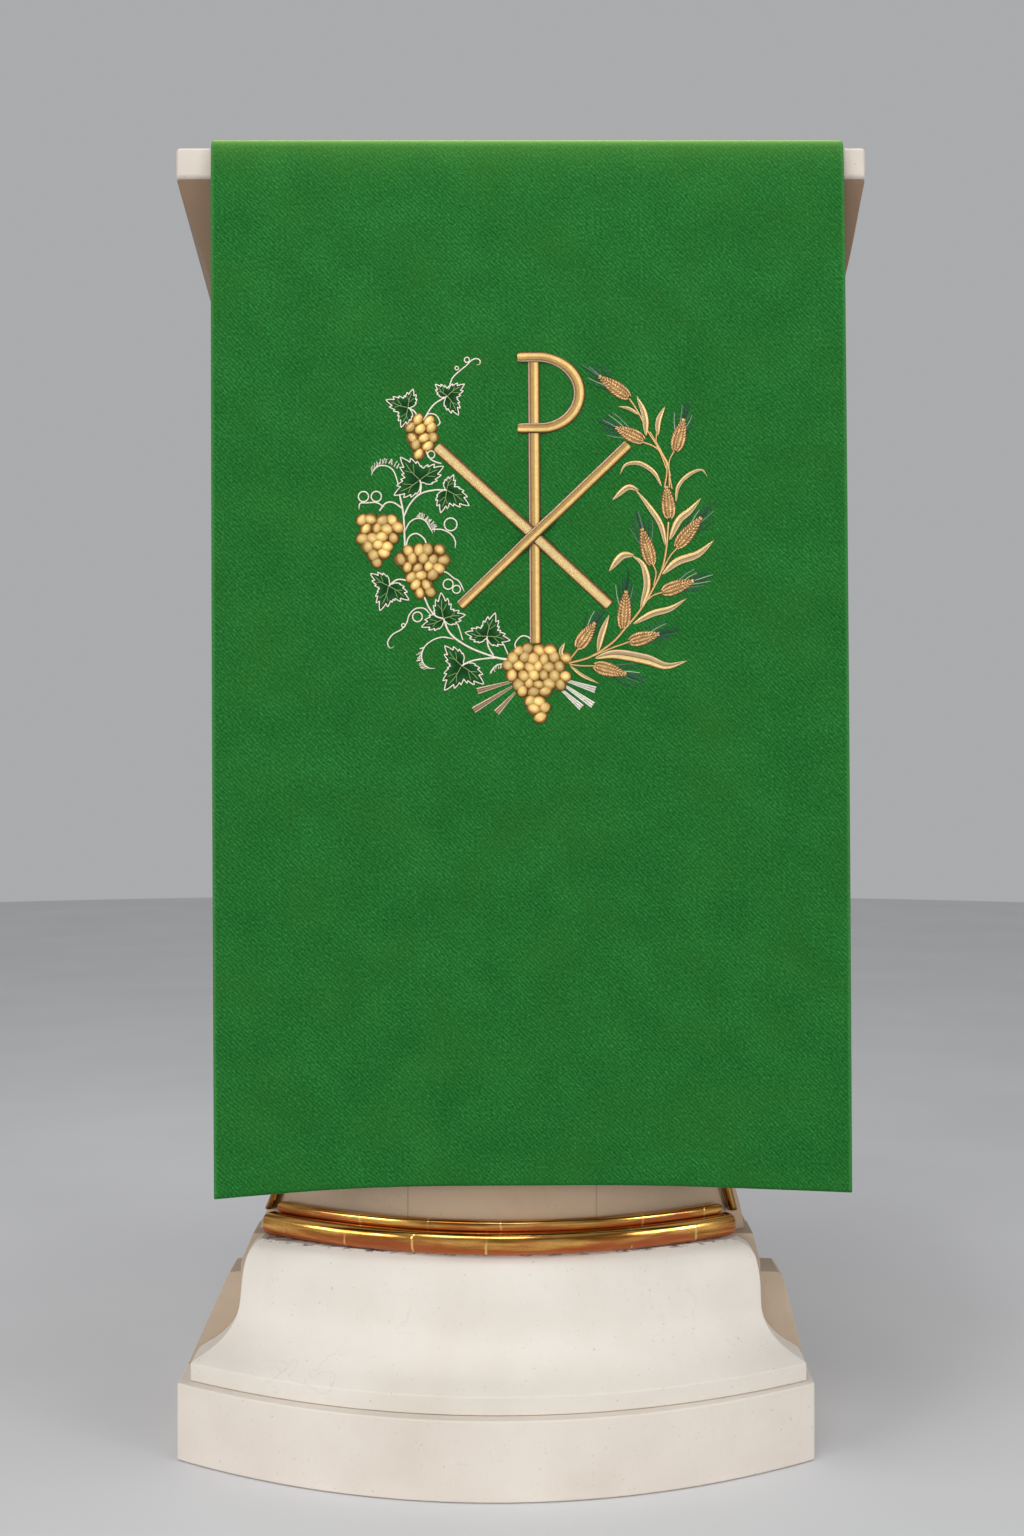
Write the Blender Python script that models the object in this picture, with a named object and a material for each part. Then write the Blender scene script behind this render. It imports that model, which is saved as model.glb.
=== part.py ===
"""Cloth lectern cover with an embroidered wreath, hanging over the front edge of a plain bow-fronted lectern.

Metres. +X is to the viewer's right, -Y towards the viewer, +Z up. The origin is on the floor under the base.
"""

import bpy
import numpy as np

# Driving sizes of the cover
CLOTH_WIDTH = 0.500
CLOTH_LENGTH = 1.200
CLOTH_THICK = 0.0024
HEM_HEIGHT = 0.2308  # floor to the middle of the hem

# Driving sizes of the lectern
BASE_WIDTH = 0.516
PLINTH_HEIGHT = 0.0626
BASE_FRONT_Y = -0.210
BASE_BACK_Y = 0.160
BASE_BOW = 0.0815  # how far the middle of the base's front stands forward of its corners
BASE_TOP_Z = 0.1715
DESK_WIDTH = 0.548
DESK_DEPTH = 0.400
DESK_THICK = 0.0245
DESK_FRONT_Y = -0.155
DESK_TOP_Z = 1.053
DESK_CENTRE_X = 0.020
DESK_TILT = np.radians(20)
HEAD_START_Z = 0.700

GAP = 0.0003  # between touching pieces
ARC_STEPS = 20  # segments round each bowed front
PLINTH_EDGE = 0.0015  # rounding of the plinth's edges
DESK_EDGE = 0.003  # rounding of the desk's edges

# The cloth's way over the desk's front edge, seen from the side
EDGE_BEND = 0.0085  # radius of the cloth's middle where it turns over the edge
EDGE_BEND_Y = -0.1515
EDGE_BEND_Z = DESK_TOP_Z - 0.004
LIFT_LENGTH = 0.060  # stretch behind the edge where the cloth rises off the desk
LIFT_ANGLE = np.radians(28)
DROP = EDGE_BEND_Z - HEM_HEIGHT

# How the hanging part strays from a flat sheet, as amounts at its side edges or its middle
TOP_CENTRE_X = 0.025
HEM_DRIFT_X = 0.005
MIDDLE_BULGE = 0.005
SWING = {"forward": 0.0025, "fade": 0.018}  # how far the cloth eases forward just below the edge
EDGE_FORWARD = {"left": 0.012, "right": 0.008}
EDGE_DIP = {"left": 0.0080, "right": 0.0040}
EDGE_POWER = 2.3
RIPPLE = {"depth": 0.0012, "length": 0.21, "start": 0.03}
DENT = {"u": 0.129, "below_edge": 0.022, "wide": 0.020, "high": 0.014, "depth": 0.0014}

# The wreath's middle on the cloth, and how thick the stitching stands
WREATH_U = 0.004
WREATH_Z = 0.7394
STITCH = 0.0009
STROKE_STEP = STITCH + GAP  # rise of a stroke that crosses over another

COLOURS = {
    "cloth_green": ((0.018, 0.150, 0.028), 0.85, 0.0),
    "gold_thread": ((0.700, 0.440, 0.130), 0.45, 0.2),
    "copper_thread": ((0.480, 0.230, 0.080), 0.50, 0.2),
    "leaf_thread": ((0.030, 0.090, 0.040), 0.60, 0.0),
    "painted_wood": ((0.760, 0.710, 0.650), 0.55, 0.0),
    "gilding": ((0.560, 0.280, 0.050), 0.25, 0.9),
}


def clear_scene():
    for obj in list(bpy.data.objects):
        bpy.data.objects.remove(obj, do_unlink=True)


def material(name):
    made = bpy.data.materials.get(name)
    if made is None:
        colour, roughness, metallic = COLOURS[name]
        made = bpy.data.materials.new(name)
        made.use_nodes = True
        shader = made.node_tree.nodes["Principled BSDF"]
        shader.inputs["Base Color"].default_value = (*colour, 1.0)
        shader.inputs["Roughness"].default_value = roughness
        shader.inputs["Metallic"].default_value = metallic
        made.diffuse_color = (*colour, 1.0)
    return made


def add_object(name, points, faces, finish, sharp_angle=35):
    mesh = bpy.data.meshes.new(name)
    mesh.from_pydata(np.asarray(points).reshape(-1, 3).tolist(), [], faces)
    mesh.validate()
    mesh.shade_smooth()
    mesh.set_sharp_from_angle(angle=np.radians(sharp_angle))
    mesh.materials.append(material(finish))
    obj = bpy.data.objects.new(name, mesh)
    bpy.context.scene.collection.objects.link(obj)
    return obj


def add_bevel(obj, width, segments=2):
    bevel = obj.modifiers.new("soft edges", "BEVEL")
    bevel.width = width
    bevel.segments = segments
    bevel.limit_method = "ANGLE"
    bevel.angle_limit = np.radians(40)


def loft(rings):
    """Faces of a closed skin over rings of equal length, each anticlockwise seen from the last ring's side."""
    count, size = rings.shape[:2]
    index = np.arange(count * size).reshape(count, size)
    after = np.roll(index, -1, axis=1)
    sides = np.stack([index[:-1], after[:-1], after[1:], index[1:]], axis=-1).reshape(-1, 4)
    return [*sides.tolist(), index[0, ::-1].tolist(), index[-1].tolist()]


def bowed_ring(z, left, right, front, bow, back, tilt=0.0):
    """A flat ring with a bowed front: y = front + bow * (distance from the middle / half width) squared.

    tilt lowers the ring by that much for each metre behind the desk's front edge.
    """
    across = np.linspace(-1, 1, ARC_STEPS + 1)
    middle = (left + right) / 2
    half = (right - left) / 2
    x = np.concatenate([middle + half * across, [right, left]])
    y = np.concatenate([front + bow * across**2, [back, back]])
    return np.stack([x, y, z - tilt * (y - DESK_FRONT_Y)], axis=-1)


def add_bowed_solid(name, rows, finish="painted_wood", sharp_angle=35):
    rings = np.array([bowed_ring(**row) for row in rows])
    return add_object(name, rings, loft(rings), finish, sharp_angle)


def smooth_rows(rows, between):
    """Rows on smooth curves through the given ones: between spans for each gap, each column a cubic."""
    heights = np.array([row["z"] for row in rows])
    spans = np.linspace(0, len(rows) - 1, (len(rows) - 1) * between + 1)
    z = np.interp(spans, np.arange(len(rows)), heights)
    columns = {"z": z}
    low = np.clip(np.searchsorted(heights, z, side="right") - 1, 0, len(rows) - 2)
    size = heights[low + 1] - heights[low]
    t = (z - heights[low]) / size
    for key in rows[0]:
        if key == "z":
            continue
        values = np.array([row[key] for row in rows])
        slope = np.gradient(values, heights)
        columns[key] = (
            (2 * t**3 - 3 * t**2 + 1) * values[low]
            + (t**3 - 2 * t**2 + t) * size * slope[low]
            + (3 * t**2 - 2 * t**3) * values[low + 1]
            + (t**3 - t**2) * size * slope[low + 1]
        )
    return [dict(zip(columns, row)) for row in zip(*columns.values())]


def add_plinth():
    half = BASE_WIDTH / 2
    plan = dict(left=-half, right=half, front=BASE_FRONT_Y, bow=BASE_BOW, back=BASE_BACK_Y)
    plinth = add_bowed_solid("plinth", [dict(z=z, **plan) for z in (0.0, PLINTH_HEIGHT)])
    add_bevel(plinth, PLINTH_EDGE)


# Front moulding of the base, bottom to top: each line's inset from the plinth's face, its height, and how much
# further out its right end reaches, because the body stands a little to the right of the plinth
FILLET_INSET = 0.010
MOULDING_ROWS = [
    dict(inset=FILLET_INSET, z=PLINTH_HEIGHT + GAP, right_out=0.0040),
    dict(inset=FILLET_INSET, z=0.0760, right_out=0.0040),
    dict(inset=0.0125, z=0.0785, right_out=0.0040),
    dict(inset=0.0260, z=0.0870, right_out=0.0045),
    dict(inset=0.0350, z=0.0950, right_out=0.0050),
    dict(inset=0.0410, z=0.1030, right_out=0.0055),
    dict(inset=0.0460, z=0.1140, right_out=0.0065),
    dict(inset=0.0480, z=0.1270, right_out=0.0075),
    dict(inset=0.0490, z=0.1390, right_out=0.0080),
    dict(inset=0.0510, z=0.1520, right_out=0.0080),
    dict(inset=0.0540, z=0.1610, right_out=0.0080),
    dict(inset=0.0580, z=0.1672, right_out=0.0060),
    dict(inset=0.0640, z=BASE_TOP_Z, right_out=0.0030),
]
MOULDING_BACK_Y = -0.085


def add_base_moulding():
    """Hollow below, round above, with the bow growing flatter as the lines step in."""
    rows = []
    for row in MOULDING_ROWS:
        half = BASE_WIDTH / 2 - row["inset"]
        bow = BASE_BOW * (2 * half / BASE_WIDTH) ** 2
        front = BASE_FRONT_Y + row["inset"]
        ends = dict(left=-half, right=half + row["right_out"])
        rows.append(dict(z=row["z"], front=front, bow=bow, back=MOULDING_BACK_Y, **ends))
    add_bowed_solid("base_moulding", rows)


# Outline of the block behind the moulding: a wide shoulder in front, a narrower body behind
SHOULDER_BACK_Y = -0.045
BLOCK_BACK_Y = 0.150
BLOCK_ROWS = [
    dict(z=PLINTH_HEIGHT + GAP, left=-0.2570, right=0.2575, rear_left=-0.2124, rear_right=0.2193),
    dict(z=0.1340, left=-0.2255, right=0.2398, rear_left=-0.2124, rear_right=0.2193),
    dict(z=0.1393, left=-0.2224, right=0.2355, rear_left=-0.2124, rear_right=0.2193),
    dict(z=0.1399, left=-0.2134, right=0.2203, rear_left=-0.2124, rear_right=0.2193),
    dict(z=0.1475, left=-0.2134, right=0.2203, rear_left=-0.2124, rear_right=0.2193),
    dict(z=BASE_TOP_Z, left=-0.2030, right=0.2141, rear_left=-0.2020, rear_right=0.2131),
]


def add_base_block():
    front = MOULDING_BACK_Y + GAP
    step, back = SHOULDER_BACK_Y, BLOCK_BACK_Y
    rings = []
    for row in BLOCK_ROWS:
        left, right, rear_left, rear_right = (row[key] for key in ("left", "right", "rear_left", "rear_right"))
        x = [left, right, right, rear_right, rear_right, rear_left, rear_left, left]
        y = [front, front, step, step, back, back, step, step]
        rings.append(np.stack([x, y, np.full(len(x), row["z"])], axis=-1))
    rings = np.array(rings)
    add_object("base_block", rings, loft(rings), "painted_wood", 20)


# Shaft and head, bottom to top; the last head row lies under the sloping desk
SHAFT_FRONT_Y = -0.1395
SHAFT_ROWS = [
    dict(z=BASE_TOP_Z + GAP, left=-0.2000, right=0.2090, bow=0.072, back=0.130),
    dict(z=0.1910, left=-0.1924, right=0.2055, bow=0.070, back=0.126),
    dict(z=0.2080, left=-0.1855, right=0.2010, bow=0.068, back=0.122),
    dict(z=0.2500, left=-0.1765, right=0.1920, bow=0.066, back=0.117),
    dict(z=0.3500, left=-0.1700, right=0.1850, bow=0.064, back=0.113),
    dict(z=0.5500, left=-0.1700, right=0.1860, bow=0.062, back=0.113),
    dict(z=HEAD_START_Z - GAP, left=-0.1790, right=0.1990, bow=0.058, back=0.117),
]
HEAD_TOP_Z = DESK_TOP_Z - DESK_THICK - GAP
DESK_SLOPE = np.tan(DESK_TILT)
HEAD_ROWS = [
    dict(z=HEAD_START_Z, left=-0.1790, right=0.1990, front=SHAFT_FRONT_Y, bow=0.058, back=0.117, tilt=0.0),
    dict(z=0.790, left=-0.1930, right=0.2200, front=-0.1405, bow=0.045, back=0.127, tilt=0.10),
    dict(z=0.880, left=-0.2110, right=0.2520, front=-0.1435, bow=0.027, back=0.143, tilt=0.22),
    dict(z=0.950, left=-0.2280, right=0.2780, front=-0.1480, bow=0.012, back=0.160, tilt=0.31),
    dict(z=HEAD_TOP_Z, left=-0.2535, right=0.2935, front=-0.1535, bow=0.0, back=0.185, tilt=DESK_SLOPE),
]


def add_shaft_and_head():
    rows = smooth_rows([dict(front=SHAFT_FRONT_Y, **row) for row in SHAFT_ROWS], 2)
    add_bowed_solid("shaft", rows)
    add_bowed_solid("head", smooth_rows(HEAD_ROWS, 3))


def shaft_front(x, z):
    """Points on the shaft's bowed front, and the way that it faces there, for places x across and heights z."""
    rows = smooth_rows(SHAFT_ROWS, 2)
    heights = [row["z"] for row in rows]
    left = np.interp(z, heights, [row["left"] for row in rows])
    right = np.interp(z, heights, [row["right"] for row in rows])
    bow = np.interp(z, heights, [row["bow"] for row in rows])
    middle = (left + right) / 2
    half = (right - left) / 2
    y = SHAFT_FRONT_Y + bow * ((x - middle) / half) ** 2
    lean = 2 * bow * (x - middle) / half**2
    facing = np.stack([lean, -np.ones_like(lean), np.zeros_like(lean)], axis=-1)
    return np.stack([x, y, z], axis=-1), facing / np.linalg.norm(facing, axis=-1, keepdims=True)


def sweep(name, path, across, up, widths, heights, finish, sides=10):
    """A rod with an elliptical section: each ring stands at a path point, across and up give its two axes."""
    turn = np.linspace(0, 2 * np.pi, sides, endpoint=False)
    rings = (
        path[:, None]
        + np.cos(turn)[None, :, None] * (across * widths[:, None])[:, None]
        + np.sin(turn)[None, :, None] * (up * heights[:, None])[:, None]
    )
    return add_object(name, rings, loft(rings), finish, 60)


def rounded_ends(count, ends=3):
    """Ring sizes along a rod: 1 over its length, shrinking to a blunt tip over the last rings at both ends."""
    size = np.ones(count)
    tip = np.sin(np.linspace(0.35, np.pi / 2, ends + 1))[:-1]
    size[:ends] = tip
    size[-ends:] = tip[::-1]
    return size


# Gilded rods along the foot of the shaft's front; depth and height are half sizes
GILT_LEFT_X = -0.1885
GILT_RIGHT_X = 0.1930
GILT_RODS = [
    dict(name="gilt_roll", z=0.1811, depth=0.0080, height=0.0090),
    dict(name="gilt_bead", z=0.1946, depth=0.0046, height=0.0040),
]
GILT_SEAT = 0.0006  # clearance from the shaft, which widens a little below each rod


def add_gilt_rods():
    ends = 3
    tip = 0.006
    inner = np.linspace(GILT_LEFT_X + tip, GILT_RIGHT_X - tip, ARC_STEPS + 1)
    closing = tip * (1 - np.cos(np.linspace(0.35, np.pi / 2, ends + 1)[:-1]))
    x = np.concatenate([GILT_LEFT_X + closing, inner, GILT_RIGHT_X - closing[::-1]])
    up = np.tile([0.0, 0.0, 1.0], (len(x), 1))
    for rod in GILT_RODS:
        seat, facing = shaft_front(x, np.full_like(x, rod["z"] - rod["height"]))
        path = seat + facing * (rod["depth"] + GILT_SEAT)
        path[:, 2] = rod["z"]
        size = rounded_ends(len(x), ends)
        sweep(rod["name"], path, -facing, up, rod["depth"] * size, rod["height"] * size, "gilding")


CORNER_ROD_RADIUS = 0.0042
CORNER_ROD_BOTTOM_Z = 0.2000
CORNER_ROD_TOP_Z = HEAD_START_Z - 0.004
CORNER_ROD_INSET = 0.0050


def add_gilt_corner_rods():
    """A thin rod up each front corner of the shaft, just in front of it."""
    z = np.linspace(CORNER_ROD_BOTTOM_Z, CORNER_ROD_TOP_Z, 15)
    rows = smooth_rows(SHAFT_ROWS, 2)
    heights = [row["z"] for row in rows]
    along_x = np.tile([1.0, 0.0, 0.0], (len(z), 1))
    along_y = np.tile([0.0, 1.0, 0.0], (len(z), 1))
    radius = np.full_like(z, CORNER_ROD_RADIUS)
    for side, inward in (("left", 1), ("right", -1)):
        x = np.interp(z, heights, [row[side] for row in rows]) + inward * CORNER_ROD_INSET
        seat, facing = shaft_front(x, z)
        path = seat + facing * (CORNER_ROD_RADIUS + GAP)
        sweep(f"gilt_corner_{side}", path, along_x, along_y, radius, radius, "gilding", sides=8)


def add_desk_board():
    """A board with upright front and back edges, its faces sloping down to the reader."""
    left = DESK_CENTRE_X - DESK_WIDTH / 2
    right = DESK_CENTRE_X + DESK_WIDTH / 2
    back = DESK_FRONT_Y + DESK_DEPTH * np.cos(DESK_TILT)
    rings = []
    for front_z in (DESK_TOP_Z - DESK_THICK, DESK_TOP_Z):
        x = np.array([left, right, right, left])
        y = np.array([DESK_FRONT_Y, DESK_FRONT_Y, back, back])
        rings.append(np.stack([x, y, front_z - DESK_SLOPE * (y - DESK_FRONT_Y)], axis=-1))
    rings = np.array(rings)
    board = add_object("desk_board", rings, loft(rings), "painted_wood")
    add_bevel(board, DESK_EDGE)


def side_path():
    """The cloth's middle line from the side: points (y, z) and their distance from the reader's end.

    It lies straight on the desk, rises off it in a smooth curve, turns over the edge in an arc and hangs.
    """
    slope = np.array([-np.cos(DESK_TILT), np.sin(DESK_TILT)])
    square = np.array([np.sin(DESK_TILT), np.cos(DESK_TILT)])
    edge = np.array([DESK_FRONT_Y, DESK_TOP_Z]) + square * (GAP + CLOTH_THICK / 2)
    lift = edge - slope * LIFT_LENGTH
    turn = np.linspace(np.pi / 2 - LIFT_ANGLE, np.pi, 60)
    centre = np.array([EDGE_BEND_Y, EDGE_BEND_Z])
    bend = centre + EDGE_BEND * np.stack([np.cos(turn), np.sin(turn)], axis=-1)
    t = np.linspace(0, 1, 60)[:, None]
    reach = np.linalg.norm(bend[0] - lift)
    leaving = slope * reach
    arriving = np.array([-np.cos(LIFT_ANGLE), np.sin(LIFT_ANGLE)]) * reach
    rise = (
        (2 * t**3 - 3 * t**2 + 1) * lift
        + (t**3 - 2 * t**2 + t) * leaving
        + (3 * t**2 - 2 * t**3) * bend[0]
        + (t**3 - t**2) * arriving
    )
    hem = np.array([[bend[-1, 0], bend[-1, 1] - DROP]])
    bent = np.concatenate([rise, bend[1:], hem])
    steps = np.linalg.norm(np.diff(bent, axis=0), axis=1)
    lying = CLOTH_LENGTH - steps.sum()
    points = np.concatenate([[lift - slope * lying], bent])
    distance = np.concatenate([[0.0, lying], lying + np.cumsum(steps)])
    return points, distance


PATH, DISTANCE = side_path()
EDGE_S = CLOTH_LENGTH - DROP  # where the cloth starts to hang straight


def drape(u, s):
    """Middle of the cloth at u across from its centre line and s along it from the reader's end."""
    y = np.interp(s, DISTANCE, PATH[:, 0])
    z = np.interp(s, DISTANCE, PATH[:, 1])
    hang = np.clip((s - EDGE_S) / DROP, 0, 1)
    side = np.abs(u) / (CLOTH_WIDTH / 2)
    leftness = np.clip(0.5 - 0.5 * u / 0.05, 0, 1)
    forward = EDGE_FORWARD["right"] + (EDGE_FORWARD["left"] - EDGE_FORWARD["right"]) * leftness
    dip = EDGE_DIP["right"] + (EDGE_DIP["left"] - EDGE_DIP["right"]) * leftness
    curl = side**EDGE_POWER
    ripple = RIPPLE["depth"] * hang * np.sin(2 * np.pi * (u - RIPPLE["start"]) / RIPPLE["length"])
    below = (s - EDGE_S - DENT["below_edge"]) / DENT["high"]
    dent = DENT["depth"] * np.exp(-(((u - DENT["u"]) / DENT["wide"]) ** 2) - below**2)
    bulge = MIDDLE_BULGE * np.sin(np.pi * hang)
    swing = SWING["forward"] * (1 - np.exp(-np.clip(s - EDGE_S, 0, None) / SWING["fade"]))
    x = TOP_CENTRE_X + HEM_DRIFT_X * hang + u
    y = y - bulge - swing - forward * curl * hang**2 + ripple + dent
    z = z - dip * curl * hang
    return np.stack([x, y, z], axis=-1)


NORMAL_STEP = 0.0005


def cloth_normal(u, s):
    """The way the cloth's outer face looks, from small steps across and along it."""
    across = drape(u + NORMAL_STEP, s) - drape(u - NORMAL_STEP, s)
    along = drape(u, s + NORMAL_STEP) - drape(u, s - NORMAL_STEP)
    normal = np.cross(along, across)
    return normal / np.linalg.norm(normal, axis=-1, keepdims=True)


# Rows of the cloth's grid: how many spans each stretch takes, and how they crowd towards its sides and its top
CLOTH_SPANS = dict(across=18, desk=7, rise=4, bend=9, hang=22)
SIDE_CROWDING = 1.25
TOP_CROWDING = 1.25


def add_cover():
    """One sheet: its outer and inner faces stand half the thickness off the middle, joined round the rim."""
    bend_s = EDGE_S - EDGE_BEND * (np.pi / 2 + LIFT_ANGLE)
    lift_s = DISTANCE[1]
    s = np.concatenate([
        np.linspace(0, lift_s, CLOTH_SPANS["desk"] + 1)[:-1],
        np.linspace(lift_s, bend_s, CLOTH_SPANS["rise"] + 1)[:-1],
        np.linspace(bend_s, EDGE_S, CLOTH_SPANS["bend"] + 1)[:-1],
        EDGE_S + DROP * np.linspace(0, 1, CLOTH_SPANS["hang"] + 1) ** TOP_CROWDING,
    ])
    spans = CLOTH_SPANS["across"]
    u = CLOTH_WIDTH / 2 * np.sin(np.linspace(-1, 1, spans + 1) * SIDE_CROWDING) / np.sin(SIDE_CROWDING)
    u, s = np.meshgrid(u, s)
    middle = drape(u, s)
    normal = cloth_normal(u, np.clip(s, NORMAL_STEP, CLOTH_LENGTH - NORMAL_STEP))
    outer = middle + normal * CLOTH_THICK / 2
    inner = middle - normal * CLOTH_THICK / 2
    rows, columns = u.shape
    top = np.arange(rows * columns).reshape(rows, columns)
    quads = np.stack([top[:-1, :-1], top[1:, :-1], top[1:, 1:], top[:-1, 1:]], axis=-1).reshape(-1, 4)
    back = quads[:, ::-1] + rows * columns
    rim = np.concatenate([top[0, :-1], top[:-1, -1], top[-1, :0:-1], top[:0:-1, 0]])
    after = np.roll(rim, -1)
    edge = np.stack([rim, after, after + rows * columns, rim + rows * columns], axis=-1)
    faces = np.concatenate([quads, back, edge]).tolist()
    add_object("cover", np.concatenate([outer.reshape(-1, 3), inner.reshape(-1, 3)]), faces, "cloth_green")


def on_cloth(a, b, height):
    """A point of the stitching: a across and b up from the wreath's middle, height above the cloth's face."""
    u = WREATH_U + a
    s = EDGE_S + (EDGE_BEND_Z - WREATH_Z) - b
    off = CLOTH_THICK / 2 + GAP + height
    return drape(u, s) + cloth_normal(u, s) * np.asarray(off)[..., None]


# Strokes of the monogram as runs of points (a, b), with their width and what they cross over
BOW_CENTRE = dict(a=0.004, b=0.1155)
BOW_RADIUS = dict(a=0.0318, b=0.0280)
BOW_BAR_START = -0.013
BOW_WIDTH = 0.0080
STROKES = [
    dict(name="monogram_staff", ends=((0.0, 0.1445), (0.0, -0.0815)), width=0.0095, level=0),
    dict(name="monogram_falling", ends=((-0.0765, 0.0735), (0.0585, -0.0515)), width=0.0095, level=1),
    dict(name="monogram_rising", ends=((-0.059, -0.052), (0.074, 0.075)), width=0.0085, level=2),
]
CROSSING = (0.0, 0.004)
RISE_SPAN = dict(full=0.014, slope=0.012)  # reach of a raised stroke about the crossing, and of its slope
STAFF_SPAN = dict(full=0.008, slope=0.010)  # the same for the bow's bars over the staff
STROKE_SECTION = [
    dict(place=1.0, height=0.0),
    dict(place=1.0, height=0.45),
    dict(place=0.6, height=0.85),
    dict(place=0.0, height=1.0),
    dict(place=-0.6, height=0.85),
    dict(place=-1.0, height=0.45),
    dict(place=-1.0, height=0.0),
]


def add_stroke(name, path, width, rise):
    """A padded bar along a path: flat below, rounded above, lifted by rise where it crosses another bar."""
    along = np.gradient(path, axis=0)
    along /= np.linalg.norm(along, axis=1, keepdims=True)
    side = np.stack([-along[:, 1], along[:, 0]], axis=-1)
    place = np.array([row["place"] for row in STROKE_SECTION]) * width / 2
    height = np.array([row["height"] for row in STROKE_SECTION]) * STITCH
    plan = path[:, None] + side[:, None] * place[None, :, None]
    rings = on_cloth(plan[..., 0], plan[..., 1], rise[:, None] + height[None])
    add_object(name, rings, loft(rings[:, ::-1]), "gold_thread", 60)


def add_monogram():
    for stroke in STROKES:
        start, end = np.array(stroke["ends"])
        t = np.linspace(0, 1, 19)[:, None]
        path = start + (end - start) * t
        away = np.linalg.norm(path - np.array(CROSSING), axis=1)
        nearness = 1 - np.clip((away - RISE_SPAN["full"]) / RISE_SPAN["slope"], 0, 1)
        rise = stroke["level"] * STROKE_STEP * nearness**2 * (3 - 2 * nearness)
        add_stroke(stroke["name"], path, stroke["width"], rise)
    turn = np.linspace(np.pi / 2, -np.pi / 2, 17)
    curve = np.stack(
        [
            BOW_CENTRE["a"] + BOW_RADIUS["a"] * np.cos(turn),
            BOW_CENTRE["b"] + BOW_RADIUS["b"] * np.sin(turn),
        ],
        axis=-1,
    )
    bar = np.linspace(BOW_BAR_START, BOW_CENTRE["a"], 5)[:-1]
    upper = np.stack([bar, np.full_like(bar, curve[0, 1])], axis=-1)
    lower = np.stack([bar[::-1], np.full_like(bar, curve[-1, 1])], axis=-1)
    path = np.concatenate([upper, curve, lower])
    over_staff = 1 - np.clip((np.abs(path[:, 0]) - STAFF_SPAN["full"]) / STAFF_SPAN["slope"], 0, 1)
    add_stroke("monogram_bow", path, BOW_WIDTH, STROKE_STEP * over_staff)


def add_raised(name, centre, turn, radius, height, finish, around, rings):
    """A low mound on the cloth: radius(angle) is its outline, height(x, y) its rise, before turning."""
    angle = np.linspace(0, 2 * np.pi, around, endpoint=False)
    share = np.linspace(0, 1, rings + 1)[1:]
    x = radius(angle)[None] * np.cos(angle)[None] * share[:, None]
    y = radius(angle)[None] * np.sin(angle)[None] * share[:, None]
    x = np.concatenate([[0.0], x.ravel(), x[-1], [0.0]])
    y = np.concatenate([[0.0], y.ravel(), y[-1], [0.0]])
    rise = height(x, y)
    rise[-around - 1:] = 0.0
    a = centre[0] + x * np.cos(turn) - y * np.sin(turn)
    b = centre[1] + x * np.sin(turn) + y * np.cos(turn)
    first = 1 + np.arange(around)
    after = np.roll(first, -1)
    fan = np.stack([np.zeros(around, int), first, after], axis=-1).tolist()
    band = np.stack([first, first + around, after + around, after], axis=-1)
    walls = [band + ring * around for ring in range(rings)]
    base = 1 + rings * around
    under = np.stack([np.full(around, base + around), after - 1 + base, first - 1 + base], axis=-1).tolist()
    add_object(name, on_cloth(a, b, rise), fan + np.concatenate(walls).tolist() + under, finish, 50)


# Vine leaves: middle (a, b) in millimetres, and three lobes, each by its length and the way it points in degrees
LEAVES = [
    dict(a=-99, b=104, lobes=((15, 75), (18, 160), (16, 250))),
    dict(a=-68, b=113, lobes=((16, 35), (17, -60), (13, 135))),
    dict(a=-90, b=47, lobes=((21, 30), (23, 130), (23, 210))),
    dict(a=-69, b=39, lobes=((13, 65), (21, -35), (18, 255))),
    dict(a=-115, b=-36, lobes=((17, 145), (19, -35), (20, 250))),
    dict(a=-72, b=-62, lobes=((20, 95), (17, 10), (18, 200))),
    dict(a=-38, b=-76, lobes=((19, 70), (18, -10), (17, 170))),
    dict(a=-58, b=-99, lobes=((20, 130), (22, -40), (23, 235))),
]
LOBE_SPREAD = 0.80  # half opening of a lobe in radians
LOBE_POINT = 1.1  # 1 gives straight sides, more gives rounder ones
LEAF_HEIGHT = 0.7  # in stitch thicknesses


def leaf_radius(angle, lobes):
    """The longest lobe's reach in each direction, falling away from the lobe's own direction."""
    reach = np.zeros_like(angle)
    for length, points in lobes:
        apart = np.abs((angle - np.radians(points) + np.pi) % (2 * np.pi) - np.pi)
        reach = np.maximum(reach, length / 1000 * np.exp(-((apart / LOBE_SPREAD) ** LOBE_POINT)))
    return reach


def add_leaves():
    for number, leaf in enumerate(LEAVES, 1):
        add_raised(
            f"vine_leaf_{number}",
            (leaf["a"] / 1000, leaf["b"] / 1000),
            0.0,
            lambda angle, lobes=leaf["lobes"]: leaf_radius(angle, lobes),
            lambda x, y: np.full_like(x, LEAF_HEIGHT * STITCH),
            "leaf_thread",
            around=36,
            rings=1,
        )


# Wheat ears: foot (a, b) and length in millimetres, and the way the tip points in degrees
EARS = [
    dict(a=75, b=112, long=30, points=145),
    dict(a=86, b=78, long=25, points=155),
    dict(a=111, b=70, long=27, points=75),
    dict(a=106, b=17, long=26, points=95),
    dict(a=92, b=-20, long=31, points=105),
    dict(a=111, b=-6, long=32, points=50),
    dict(a=100, b=-41, long=27, points=20),
    dict(a=69, b=-70, long=31, points=85),
    dict(a=33, b=-85, long=25, points=55),
    dict(a=74, b=-80, long=25, points=15),
    dict(a=46, b=-99, long=27, points=-15),
]
EAR_WIDTH = 0.011


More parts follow.
